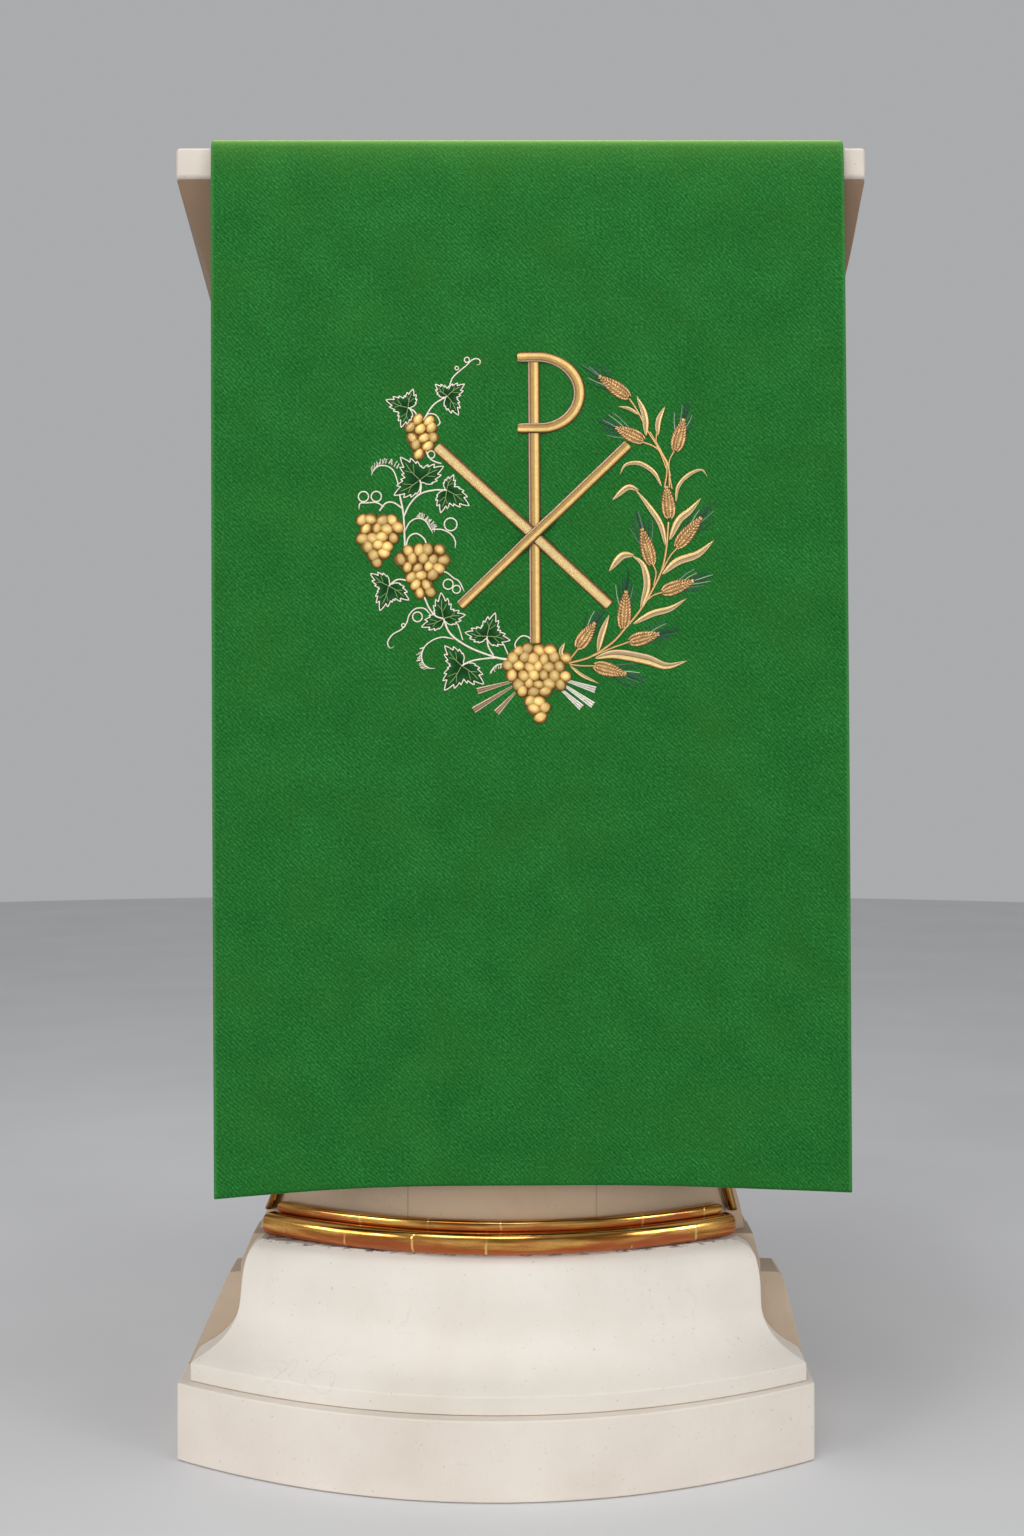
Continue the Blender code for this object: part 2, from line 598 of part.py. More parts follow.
def add_ears():
    """Pointed ovals: widest a little below the middle, padded highest along the stalk."""
    for number, ear in enumerate(EARS, 1):
        half = ear["long"] / 2000
        turn = np.radians(ear["points"])
        centre = np.array([ear["a"], ear["b"]]) / 1000 + half * np.array([np.cos(turn), np.sin(turn)])

        def radius(angle, half=half):
            oval = 1 / np.hypot(np.cos(angle) / half, np.sin(angle) / (EAR_WIDTH / 2))
            return oval * (1 - 0.10 * np.abs(np.sin(angle)) * np.cos(angle))

        def height(x, y, half=half):
            return STITCH * (0.35 + 0.65 * np.clip(1 - (y / (EAR_WIDTH / 2)) ** 2 - (x / half) ** 4, 0, 1))

        add_raised(f"wheat_ear_{number}", centre, turn, radius, height, "copper_thread", around=14, rings=2)


# Grape bunches: middle (a, b) and sideways lean per row in millimetres, and how many berries each row holds
BERRY_RADIUS = 0.0044
BERRY_PITCH = dict(across=1.85, down=1.50)  # spacing in berry radii
BUNCH_CORE = 0.5  # least reach of a bunch's outline, in berry radii
BUNCHES = [
    dict(a=-88, b=81, lean=-1.6, rows=(2, 3, 3, 2, 1)),
    dict(a=-121, b=-1, lean=1.2, rows=(4, 4, 4, 3, 2, 2)),
    dict(a=-88, b=-25, lean=-0.4, rows=(4, 5, 4, 3, 2, 2)),
    dict(a=1, b=-113, lean=0.0, rows=(4, 6, 6, 6, 5, 3, 2, 2, 1)),
]


def berry_places(rows, lean):
    """Rows of berries a little closer than their width, each row centred, hung from the top."""
    pitch = BERRY_PITCH["across"] * BERRY_RADIUS
    drop = BERRY_PITCH["down"] * BERRY_RADIUS
    middle = (len(rows) - 1) / 2
    places = [
        ((column - (count - 1) / 2) * pitch + (row - middle) * lean / 1000, (middle - row) * drop)
        for row, count in enumerate(rows)
        for column in range(count)
    ]
    return np.array(places)


def add_bunches():
    for number, bunch in enumerate(BUNCHES, 1):
        berries = berry_places(bunch["rows"], bunch["lean"])

        def radius(angle, berries=berries):
            way = np.stack([np.cos(angle), np.sin(angle)])
            ahead = berries @ way
            aside = np.abs(berries @ np.stack([-way[1], way[0]]))
            reach = ahead + np.sqrt(np.clip(BERRY_RADIUS**2 - aside**2, 0, None))
            return np.max(np.where(aside < BERRY_RADIUS, reach, BUNCH_CORE * BERRY_RADIUS), axis=0)

        def height(x, y, berries=berries):
            gap = (x[:, None] - berries[:, 0]) ** 2 + (y[:, None] - berries[:, 1]) ** 2
            dome = np.sqrt(np.clip(1 - gap.min(axis=1) / BERRY_RADIUS**2, 0, 1))
            return STITCH * (0.6 + 1.0 * dome)

        centre = (bunch["a"] / 1000, bunch["b"] / 1000)
        add_raised(f"grape_bunch_{number}", centre, 0.0, radius, height, "gold_thread", around=36, rings=6)


def main():
    clear_scene()
    add_plinth()
    add_base_moulding()
    add_base_block()
    add_shaft_and_head()
    add_gilt_rods()
    add_gilt_corner_rods()
    add_desk_board()
    add_cover()
    add_monogram()
    add_leaves()
    add_ears()
    add_bunches()


main()
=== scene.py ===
import bpy
import numpy as np
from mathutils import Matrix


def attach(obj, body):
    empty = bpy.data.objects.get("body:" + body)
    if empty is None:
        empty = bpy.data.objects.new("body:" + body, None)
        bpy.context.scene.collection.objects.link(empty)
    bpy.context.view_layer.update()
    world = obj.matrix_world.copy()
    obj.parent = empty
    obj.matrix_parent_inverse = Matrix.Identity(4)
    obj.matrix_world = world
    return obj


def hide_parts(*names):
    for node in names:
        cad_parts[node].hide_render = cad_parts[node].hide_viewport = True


# %% [markdown]
# A cloth lectern cover lies on a reader's desk and hangs down its front. This lesson builds the
# cloth, its stitched wreath and the painted and gilded lectern that carries them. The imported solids
# come first, because every piece below is placed by the same sizes as theirs.

# %% Load the solids
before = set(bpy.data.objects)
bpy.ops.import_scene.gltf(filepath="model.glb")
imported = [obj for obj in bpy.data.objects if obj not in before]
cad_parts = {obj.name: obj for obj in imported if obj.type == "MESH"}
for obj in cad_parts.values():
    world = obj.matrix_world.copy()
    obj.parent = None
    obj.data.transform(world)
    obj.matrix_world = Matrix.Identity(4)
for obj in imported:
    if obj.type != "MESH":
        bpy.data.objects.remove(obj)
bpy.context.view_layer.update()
print("solids:", len(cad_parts))


def table(columns, *rows):
    """Rows of values, each turned into a dictionary under the names of the columns."""
    return [dict(zip(columns.split(), row)) for row in rows]


# %% [markdown]
# The camera stands straight in front of the hanging cloth, at the height of its lower part. A long
# picture reads the lens across its tall side, so the lens length is worked out from that side.

# %% Camera
PICTURE_HEIGHT = 1536
FOCAL_PIXELS = 1700
camera_data = bpy.data.cameras.new("camera")
camera_data.sensor_fit = "AUTO"
camera_data.sensor_width = 36.0
camera_data.lens = FOCAL_PIXELS / PICTURE_HEIGHT * camera_data.sensor_width
camera = bpy.data.objects.new("camera", camera_data)
camera.location = (0.013, -1.504, 0.560)
camera.rotation_euler = (np.pi / 2, 0.0, 0.0)
bpy.context.scene.collection.objects.link(camera)
bpy.context.scene.camera = camera
print("lens:", round(camera_data.lens, 2), "mm")

# %% [markdown]
# A large soft light above the front makes the even light of a studio. A narrow one close above the
# desk's edge brightens the top of the cloth. Two low ones fill the shadows from both sides, and their
# light is kept in a cone, so that it doesn't pool on the floor.

# %% Lights
LIGHTS = table(
    "name place aim size power spread",
    ("key", (-0.6, -3.4, 3.4), (0.0, -0.15, 0.50), (2.6, 1.9), 60.0, 180),
    ("edge", (0.05, -0.16, 1.70), (0.02, -0.16, 1.04), (1.0, 0.20), 6.4, 180),
    ("fill", (-2.9, -2.6, 0.85), (0.0, -0.10, 0.36), (1.6, 1.2), 10.6, 80),
    ("side", (3.0, -2.4, 0.85), (0.0, -0.10, 0.36), (1.2, 1.2), 8.3, 80),
)


def add_light(name, place, aim, size, power, spread):
    """A rectangular lamp at place that looks from place to aim and spreads over so many degrees."""
    data = bpy.data.lights.new(name, "AREA")
    data.shape = "RECTANGLE"
    data.size, data.size_y = size
    data.spread = np.radians(spread)
    data.energy = power
    lamp = bpy.data.objects.new(name, data)
    lamp.location = place
    x, y, z = np.subtract(aim, place)
    lamp.rotation_euler = (np.arctan2(np.hypot(x, y), -z), 0.0, np.arctan2(y, x) - np.pi / 2)
    bpy.context.scene.collection.objects.link(lamp)


for light in LIGHTS:
    add_light(**light)

world = bpy.data.worlds.new("studio")
world.use_nodes = True
sky = world.node_tree.nodes["Background"]
sky.inputs["Color"].default_value = (0.86, 0.87, 0.89, 1.0)
sky.inputs["Strength"].default_value = 0.47
bpy.context.scene.world = world
bpy.context.scene.view_settings.view_transform = "Standard"
print("lights:", len(LIGHTS))

# %% [markdown]
# Every surface below is a grid of points worked out with numpy. One helper turns the arrays into a
# mesh and says which solids it stands for. It also stores two numbers at each point of the stitching:
# its place across a stroke, from -1 to 1, and a tone that sets one element lighter than the next.


def put_mesh(name, part, finish, stands_for=(), smooth_angle=None):
    """Writes the arrays into a new mesh, smooth except where faces meet at more than smooth_angle."""
    points, faces = part["points"], part["faces"]
    corners = np.concatenate([rows.ravel() for rows in faces]).astype(np.int32)
    sizes = np.concatenate([np.full(len(rows), rows.shape[1]) for rows in faces])
    mesh = bpy.data.meshes.new(name)
    mesh.vertices.add(len(points))
    mesh.vertices.foreach_set("co", points.astype(np.float32).ravel())
    mesh.loops.add(len(corners))
    mesh.loops.foreach_set("vertex_index", corners)
    mesh.polygons.add(len(sizes))
    mesh.polygons.foreach_set("loop_start", (np.cumsum(sizes) - sizes).astype(np.int32))
    mesh.update(calc_edges=True)
    if "lay" in part:
        layer = mesh.uv_layers.new(name="lay")
        layer.data.foreach_set("uv", part["lay"][corners].astype(np.float32).ravel())
    for key in ("side", "tone"):
        if key in part:
            values = mesh.attributes.new(key, "FLOAT", "POINT")
            values.data.foreach_set("value", part[key].astype(np.float32).ravel())
    mesh.validate()
    mesh.shade_smooth()
    if smooth_angle:
        mesh.set_sharp_from_angle(angle=np.radians(smooth_angle))
    mesh.materials.append(finish)
    piece = bpy.data.objects.new(name, mesh)
    bpy.context.scene.collection.objects.link(piece)
    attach(piece, "root")
    if stands_for:
        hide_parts(*stands_for)
    print(name, len(points), "points", len(sizes), "faces")
    return piece


def skin(count, size):
    """Faces of a closed skin over count rings of size points: quads along it and a cap at each end."""
    index = np.arange(count * size).reshape(count, size)
    after = np.roll(index, -1, axis=1)
    sides = np.stack([index[:-1], after[:-1], after[1:], index[1:]], axis=-1).reshape(-1, 4)
    return [sides, index[:1, ::-1], index[-1:]]


def ringed(rings, **values):
    """A part with a closed skin over its rings. The other values are given point by point."""
    part = dict(points=rings.reshape(-1, 3), faces=skin(*rings.shape[:2]))
    for key, value in values.items():
        part[key] = value.reshape(-1, 2) if key == "lay" else value.ravel()
    return part


# %% [markdown]
# A material is a small network of nodes. Here a wire stands for the output of a node, and sums on
# wires add the nodes that work them out, so that a finish can be read as a list of formulas.

# %% Node helpers
def join(tree, target, value):
    """Joins a wire to an input, or sets a plain value there."""
    if isinstance(value, Wire):
        tree.links.new(value.socket, target)
    else:
        target.default_value = value


def add(tree, kind, inputs=None, out=0, **settings):
    """A node of the kind with its settings and its inputs by name or number. Gives one output as a wire."""
    node = tree.nodes.new("ShaderNode" + kind)
    for key, value in settings.items():
        setattr(node, key, value)
    for key, value in (inputs or {}).items():
        join(tree, node.inputs[key], value)
    return Wire(node.outputs[out])


class Wire:
    """The output of a node. Sums on it add math nodes to the same tree."""

    def __init__(self, socket):
        self.socket = socket
        self.tree = socket.id_data

    def math(self, operation, other=0.0):
        """One sum of this wire with another wire or a number."""
        return add(self.tree, "Math", {0: self, 1: other}, operation=operation)

    def __add__(self, other):
        return self.math("ADD", other)

    def __sub__(self, other):
        return self.math("SUBTRACT", other)

    def __mul__(self, other):
        return self.math("MULTIPLY", other)

    def __truediv__(self, other):
        return self.math("DIVIDE", other)

    def __abs__(self):
        return self.math("ABSOLUTE")

    def __rsub__(self, other):
        return add(self.tree, "Math", {0: other, 1: self}, operation="SUBTRACT")

    def __rpow__(self, other):
        return add(self.tree, "Math", {0: other, 1: self}, operation="POWER")

    def limited(self):
        """The same sum held between 0 and 1."""
        self.socket.node.use_clamp = True
        return self

    def mixed(self, factor, other, blend="MIX"):
        """This colour with another laid over it by a factor."""
        other = other if isinstance(other, Wire) else (*other, 1.0)
        return add(self.tree, "Mix", {0: factor, 6: self, 7: other}, 2, data_type="RGBA", blend_type=blend)


def ramp(source, *stops):
    """A colour ramp over stops of position, red, green and blue."""
    factor = add(source.tree, "ValToRGB", {"Fac": source}, "Color")
    elements = factor.socket.node.color_ramp.elements
    while len(elements) < len(stops):
        elements.new(0.5)
    for element, (position, *colour) in zip(elements, stops):
        element.position = position
        element.color = (*colour, 1.0)
    return factor


def noise(place, scale, detail=2.0, roughness=0.5, out=0):
    """Smooth noise at a place, its detail in octaves that fade by the roughness."""
    inputs = {"Vector": place, "Scale": scale, "Detail": detail, "Roughness": roughness}
    return add(place.tree, "TexNoise", inputs, out)


def drawn_out(place, share):
    """A place whose first coordinate is shrunk to a share, which draws a pattern out along it."""
    return add(place.tree, "Mapping", {"Vector": place, "Scale": (share, 1.0, 1.0)})


def split(place):
    """The three coordinates of a place."""
    node = add(place.tree, "SeparateXYZ", {0: place}).socket.node
    return [Wire(output) for output in node.outputs]


def line(distance, width):
    """1 on a line, fading to 0 at so much distance from it."""
    return (1.0 - distance / width).limited()


def above(value, level, steepness):
    """0 below a level, rising to 1 just above it."""
    return ((value - level) * steepness).limited()


def new_material(name, **values):
    """A material, its tree and its shader, whose plain values are set here."""
    made = bpy.data.materials.new(name)
    made.use_nodes = True
    shader = made.node_tree.nodes["Principled BSDF"]
    for key, value in values.items():
        shader.inputs[key.replace("_", " ")].default_value = value
    return made, made.node_tree, shader


def dress(shader, colour, relief, strength, distance, **others):
    """Joins a colour, the bump of a relief and any other wires to a shader."""
    tree = shader.id_data
    normal = add(tree, "Bump", {"Height": relief, "Strength": strength, "Distance": distance})
    for key, value in {"Base Color": colour, "Normal": normal, **others}.items():
        join(tree, shader.inputs[key], value)


def new_group(name, **inputs):
    """A shader group with number inputs. Gives the group and its inputs as wires."""
    group = bpy.data.node_groups.new(name, "ShaderNodeTree")
    for title, value in inputs.items():
        socket = group.interface.new_socket(title, in_out="INPUT", socket_type="NodeSocketFloat")
        socket.default_value = value
    entry = group.nodes.new("NodeGroupInput")
    return group, [Wire(entry.outputs[title]) for title in inputs]


def close_group(group, **outputs):
    """Gives a group its outputs and joins a wire to each."""
    for title in outputs:
        group.interface.new_socket(title, in_out="OUTPUT", socket_type="NodeSocketFloat")
    leave = group.nodes.new("NodeGroupOutput")
    for title, wire in outputs.items():
        join(group, leave.inputs[title], wire)
    print("group:", group.name)
    return group


def use_group(tree, group, **values):
    """The group placed in a material with its own values. Gives its outputs by name."""
    node = tree.nodes.new("ShaderNodeGroup")
    node.node_tree = group
    for key, value in values.items():
        node.inputs[key].default_value = value
    return {output.name: Wire(output) for output in node.outputs}


# %% [markdown]
# Two effects come back in several finishes. Threads lie side by side in every stitched piece, so one
# group turns distance along a stroke into fine ridges, with painted shade between them. Old paint and
# plaster are never quite even, so another group gives soft blotches, fine specks and thin hairline cracks.

# %% Shader group: threads
def make_thread_group():
    """Ridges across the stroke: sine of 2 pi * (along + slant * across) / pitch, loosened by noise."""
    group, (pitch, slant) = new_group("threads", Pitch=0.0005, Slant=0.0)
    lay = add(group, "UVMap", uv_map="lay")
    along, across, _ = split(lay)
    turns = (along + across * slant) / pitch + noise(lay, 1400.0) * 0.6
    height = (turns * (2 * np.pi)).math("SINE") * 0.5 + 0.5
    # Shade is painted shade between the threads, mixed with noise.
    return close_group(group, Height=height, Shade=height * 0.5 + noise(lay, 260.0, 3.0) * 0.5)


THREADS = make_thread_group()


# %% Shader group: old paint
def make_paint_group():
    """Blotches from coarse noise, specks where fine noise peaks, cracks along the edges of large cells."""
    group, _ = new_group("old paint")
    place = add(group, "TexCoord", out="Object")
    blotch = noise(place, 9.0, 5.0, 0.6)
    bent = noise(place, 14.0, 4.0, out="Color")
    moved = add(group, "VectorMath", {0: place, 1: bent}, operation="MULTIPLY")
    cells = add(group, "TexVoronoi", {"Vector": moved, "Scale": 7.0}, "Distance", feature="DISTANCE_TO_EDGE")
    cracks = line(cells, 0.006) * above(blotch, 0.52, 8.0)
    return close_group(group, Blotch=blotch, Specks=above(noise(place, 420.0), 0.68, 9.0), Cracks=cracks)


OLD_PAINT = make_paint_group()

# %% [markdown]
# The lectern's woodwork is painted off-white. Its body is browner than its foot, and darker still towards
# the desk and on the desk board: all of this is painted shade, and one recipe makes every tone. Dirt gathers
# in the cracks, and a bump node gives the brushed paint its faint unevenness.

# %% Finish: painted wood
SHADE_FROM_Z = 0.45
SHADE_TO_Z = 0.95
JOINT_HALF_WIDTH = 0.0007
SHAFT_JOINTS_X = (-0.0713, 0.0812)


def painted_wood(name, light, dark, edge_dirt=0.0, shade=None, joints=()):
    """Off-white paint in two tones, darker at specks, cracks and joints, with painted shade upwards."""
    made, tree, shader = new_material(name, IOR=1.45)
    old = use_group(tree, OLD_PAINT)
    colour = ramp(old["Blotch"], (0.30, *dark), (0.62, *light))
    colour = colour.mixed(old["Specks"] * 0.45, (0.20, 0.15, 0.11))
    colour = colour.mixed(old["Cracks"] * 0.16, (0.22, 0.17, 0.13))
    place = add(tree, "TexCoord", out="Object")
    across, _, height = split(place)
    for joint in joints:
        colour = colour.mixed(line(abs(across - joint), JOINT_HALF_WIDTH) * 0.55, (0.09, 0.06, 0.04))
    # Painted shade: from SHADE_FROM_Z up to SHADE_TO_Z the colour is multiplied darker, most under the desk.
    if shade:
        levels = {0: height, 1: SHADE_FROM_Z, 2: SHADE_TO_Z}
        rise = add(tree, "MapRange", levels, interpolation_type="SMOOTHSTEP")
        colour = colour.mixed(rise, shade, "MULTIPLY")
    if edge_dirt:
        chips = above(noise(drawn_out(place, 0.30), 260.0, 6.0, 0.8), 0.505, 14.0)
        colour = colour.mixed(above(height, edge_dirt, 900.0) * chips, (0.11, 0.085, 0.065))
    relief = noise(place, 320.0, 4.0) * 0.35 - old["Cracks"] * 0.4 - old["Specks"] * 0.5
    dress(shader, colour, relief, 0.35, 0.0004, Roughness=old["Blotch"] * 0.25 + 0.40)
    return made


# The desk board's darker top, from its shade, is painted shade.
PAINT_FRONT = painted_wood(
    "painted_wood", (0.735, 0.665, 0.590), (0.660, 0.585, 0.510), shade=(0.88, 0.87, 0.86))
PAINT_MOULDING = painted_wood(
    "painted_moulding", (0.735, 0.680, 0.610), (0.665, 0.605, 0.530), edge_dirt=0.1698)
# The block, head and shaft take darker, browner copies of the paint: painted shade, not another paint.
PAINT_SIDE_SHADED = painted_wood(
    "painted_sides_shaded", (0.50, 0.390, 0.290), (0.42, 0.320, 0.230), shade=(0.46, 0.37, 0.30))
PAINT_SHAFT_SHADED = painted_wood(
    "painted_shaft_shaded", (0.46, 0.330, 0.220), (0.38, 0.265, 0.170), shade=(0.50, 0.42, 0.37),
    joints=SHAFT_JOINTS_X)
print("finishes: painted wood, four tones")

# %% [markdown]
# The rods are gilded: gold leaf over red-brown clay, burnished bright. Where the leaf has worn, the
# clay shows in patches; more red-brown on the underside is a painted dark reflection. The sheets of
# leaf overlap every few centimetres, and each lap is a thin brighter line across the rod.

# %% Finish: worn gilding
LAP_EVERY = 0.058


def gilding(name, wear=0.430, shade_factor=1.0):
    """Gold at low noise, clay at high noise and more on the underside as painted reflection; even laps."""
    def in_painted_shade(*colour):
        """A colour of the gilding, darker in the copy that paints shade."""
        return tuple(np.multiply(colour, shade_factor))

    made, tree, shader = new_material(name)
    lay = add(tree, "UVMap", uv_map="lay")
    wearing = noise(drawn_out(lay, 0.12), 85.0, 6.0, 0.62)
    down = add(tree, "Attribute", out="Fac", attribute_name="side")
    # down * 0.34 adds clay on the underside: a painted dark reflection.
    clay_and_reflection = above(wearing + down * 0.34, wear, 7.0)
    streak = noise(drawn_out(lay, 0.05), 300.0, 3.0)
    gold = ramp(streak, (0.40, *in_painted_shade(0.27, 0.105, 0.020)), (0.60, *in_painted_shade(0.80, 0.445, 0.115)))
    bole = ramp(wearing, (0.40, *in_painted_shade(0.40, 0.078, 0.008)), (0.75, *in_painted_shade(0.20, 0.034, 0.005)))
    loose = noise(lay, 60.0, 3.0)
    turns = (split(lay)[0] / LAP_EVERY + loose * 0.10).math("FRACT")
    lap = line(abs(turns - 0.5), 1 / 46) * above(loose, 0.47, 9.0)
    colour = gold.mixed(clay_and_reflection * 0.92, bole).mixed(lap * 0.80, in_painted_shade(0.93, 0.66, 0.22))
    dress(shader, colour, wearing * 0.6 + lap * 0.4, 0.35, 0.0006,
          Metallic=1.0 - clay_and_reflection * 0.70, Roughness=clay_and_reflection * 0.05 + 0.15)
    return made


GILDING = gilding("gilding")
# The corner rods stand in the cloth's shadow: their darker copy of the gilding is painted shade.
GILDING_SHADED = gilding("gilding_shaded", wear=0.85, shade_factor=0.62)
print("finishes: gilding, bright and dull")

# %% [markdown]
# The cloth is a plain green twill. Its diagonal ribs are too fine to model, so they are a wave on the
# cloth's own flat sizes, which the mesh carries as a map: metres across and metres along. Noise loosens
# the ribs, and broad soft patches keep the colour from being flat. A thin paler line at each side edge
# is a painted highlight, and a darker one marks the stitched hem. A yellow-green painted highlight
# fades down from the fold over the desk's edge.

# %% Finish: green twill
CLOTH_WIDTH = 0.500
CLOTH_LENGTH = 1.200
RIB_SPACING = 0.0037
FOLD_AT = 0.372
# Painted highlight over the fold at the desk's edge: a wide soft part and a narrow bright one.
FOLD_PAINTED_HIGHLIGHT = table(
    "reach share colour",
    (0.011, 0.46, (0.130, 0.320, 0.055)),
    (0.0020, 0.85, (0.460, 0.640, 0.160)),
)
HEM_FROM_END = 0.0012


def green_twill():
    """Ribs: sine of 2 pi * (along - across) / spacing. Fold's painted highlight: e^(-distance / reach)."""
    made, tree, shader = new_material(
        "cloth_green", Roughness=0.88, IOR=1.38, Specular_IOR_Level=0.15,
        Sheen_Weight=0.10, Sheen_Roughness=0.42, Sheen_Tint=(0.70, 1.0, 0.45, 1.0))
    lay = add(tree, "UVMap", uv_map="lay")
    across, along, _ = split(lay)
    turns = (along - across) / RIB_SPACING + noise(lay, 90.0, 3.0) * 1.8
    grain = (turns * (2 * np.pi)).math("SINE") * 0.085 + noise(lay, 440.0, 3.0, 0.7)
    patch = noise(lay, 26.0, 5.0, 0.55)
    colour = ramp(
        grain * 0.62 + patch * 0.16 + 0.162,
        (0.34, 0.0020, 0.055, 0.0050), (0.57, 0.0130, 0.128, 0.0200), (0.80, 0.0400, 0.260, 0.0520))
    colour = colour.mixed(above(noise(lay, 17.0, 4.0), 0.45, 0.9), (0.026, 0.124, 0.012))
    for fold_highlight in FOLD_PAINTED_HIGHLIGHT:
        faded = np.e ** (abs(along - FOLD_AT) / -fold_highlight["reach"])
        colour = colour.mixed(faded * fold_highlight["share"], fold_highlight["colour"])
    # A painted highlight along each side edge.
    rim = line(CLOTH_WIDTH / 2 - abs(across), 0.0022)
    colour = colour.mixed(rim * 0.40, (0.070, 0.260, 0.070))
    hem = line(abs(CLOTH_LENGTH - HEM_FROM_END - along), 0.0016)
    colour = colour.mixed(hem * 0.55, (0.010, 0.070, 0.012))
    dress(shader, colour, grain * 0.8 + patch * 0.4, 0.40, 0.0005)
    return made


CLOTH_GREEN = green_twill()
print("finish: green twill")

# %% [markdown]
# Stitched pieces share one idea: a colour that changes across the stroke, over the fine ridges of the
# threads group. Its lighter bands, on a shoulder or in the middle of a dome, are painted highlights, and
# its edges are bound with a darker thread. Each kind of thread is that recipe with its own colours.

# %% Finishes: embroidery threads
STITCHED = []


def stitched(name, pitch, slant, *stops, metallic=0.35, roughness=0.42, tone_span=0.30, read="side",
             shine=0.5):
    """Colour across the stroke from stops, with painted highlights, painted shade between threads and tone.
    """
    made, tree, shader = new_material(name, Metallic=metallic, Roughness=roughness, Specular_IOR_Level=shine)
    side, tone = (add(tree, "Attribute", out="Fac", attribute_name=key) for key in (read, "tone"))
    threads = use_group(tree, THREADS, Pitch=pitch, Slant=slant)
    shade = (threads["Shade"] * 0.80 + 0.58) * (tone * tone_span + (1 - tone_span / 2))
    grey = add(tree, "CombineColor", {0: shade, 1: shade, 2: shade})
    colour = ramp(side * 0.5 + 0.5, *stops).mixed(1.0, grey, "MULTIPLY")
    dress(shader, colour, threads["Height"], 0.5, 0.0003)
    STITCHED.append(name)
    return made


# The gold bars carry a painted highlight: on one shoulder, or along the middle in the falling bar's copy.
GOLD_BAR = stitched(
    "gold_bar", 0.0011, 0.5,
    (0.00, 0.050, 0.018, 0.008), (0.05, 0.32, 0.200, 0.130), (0.11, 0.62, 0.440, 0.300),
    (0.18, 0.120, 0.045, 0.012), (0.26, 0.38, 0.215, 0.058), (0.50, 0.51, 0.305, 0.086),
    (0.60, 0.86, 0.620, 0.240), (0.78, 0.77, 0.495, 0.145), (0.88, 0.210, 0.085, 0.015),
    (1.00, 0.050, 0.016, 0.004))
GOLD_BAR_CENTRE_HIGHLIGHT = stitched(
    "gold_bar_centre_highlight", 0.0011, 0.5,
    (0.00, 0.070, 0.025, 0.007), (0.08, 0.230, 0.100, 0.026), (0.18, 0.64, 0.440, 0.165),
    (0.48, 0.73, 0.540, 0.240), (0.72, 0.62, 0.425, 0.165), (0.84, 0.190, 0.075, 0.014),
    (1.00, 0.055, 0.018, 0.004))
SILVER_CORD = stitched(
    "silver_cord", 0.0007, 0.8,
    (0.00, 0.34, 0.280, 0.210), (0.25, 0.94, 0.870, 0.730), (0.50, 0.84, 0.750, 0.600),
    (0.75, 0.94, 0.870, 0.730), (1.00, 0.34, 0.280, 0.210), metallic=0.1, roughness=0.55)
LEAF_GREEN = stitched(
    "leaf_green", 0.0010, 1.0,
    (0.00, 0.002, 0.034, 0.005), (0.45, 0.004, 0.048, 0.008), (0.80, 0.010, 0.092, 0.016),
    (1.00, 0.006, 0.060, 0.010), metallic=0.0, roughness=0.8, shine=0.15)
LEAF_VEIN = stitched(
    "leaf_vein", 0.0007, 0.0,
    (0.00, 0.06, 0.160, 0.040), (0.50, 0.30, 0.420, 0.160), (1.00, 0.06, 0.160, 0.040),
    metallic=0.0, roughness=0.6, shine=0.2)
# Berries and grains are lightest in the middle: a painted highlight on each dome.
GRAPE_GOLD = stitched(
    "grape_gold", 0.0009, 0.3,
    (0.00, 0.90, 0.670, 0.290), (0.48, 0.74, 0.490, 0.155), (0.76, 0.50, 0.285, 0.066),
    (0.90, 0.290, 0.135, 0.026), (1.00, 0.130, 0.052, 0.010), tone_span=0.55)
GRAPE_SHADE = stitched(
    "grape_shade", 0.0009, 0.0,
    (0.00, 0.430, 0.215, 0.046), (0.80, 0.320, 0.150, 0.032), (1.00, 0.110, 0.044, 0.010))
COPPER_EAR = stitched(
    "copper_ear", 0.0007, 0.6,
    (0.00, 0.87, 0.585, 0.270), (0.55, 0.71, 0.445, 0.180), (0.82, 0.430, 0.225, 0.074),
    (1.00, 0.190, 0.084, 0.026), tone_span=0.6)
EAR_SHADE = stitched(
    "ear_shade", 0.0007, 0.6,
    (0.00, 0.190, 0.084, 0.026), (0.50, 0.450, 0.245, 0.090), (1.00, 0.190, 0.084, 0.026))
AWN_THREAD = stitched(
    "awn_thread", 0.0008, 0.0,
    (0.50, 0.008, 0.024, 0.030), (0.70, 0.030, 0.070, 0.066), (0.85, 0.200, 0.260, 0.210),
    (1.00, 0.520, 0.520, 0.420), metallic=0.1, tone_span=0.0, read="tone")
BLADE_GOLD = stitched(
    "blade_gold", 0.0009, 1.2,
    (0.00, 0.140, 0.056, 0.012), (0.08, 0.46, 0.270, 0.080), (0.20, 0.98, 0.740, 0.330),
    (0.42, 0.84, 0.590, 0.220), (0.49, 0.170, 0.075, 0.020), (0.56, 0.42, 0.290, 0.160),
    (0.80, 0.52, 0.370, 0.210), (0.90, 0.94, 0.720, 0.360), (1.00, 0.110, 0.044, 0.012))
STEM_GOLD = stitched(
    "stem_gold", 0.0009, 1.2,
    (0.00, 0.110, 0.044, 0.012), (0.28, 0.82, 0.560, 0.220), (0.55, 0.74, 0.480, 0.170),
    (0.74, 0.30, 0.150, 0.044), (1.00, 0.110, 0.044, 0.012))
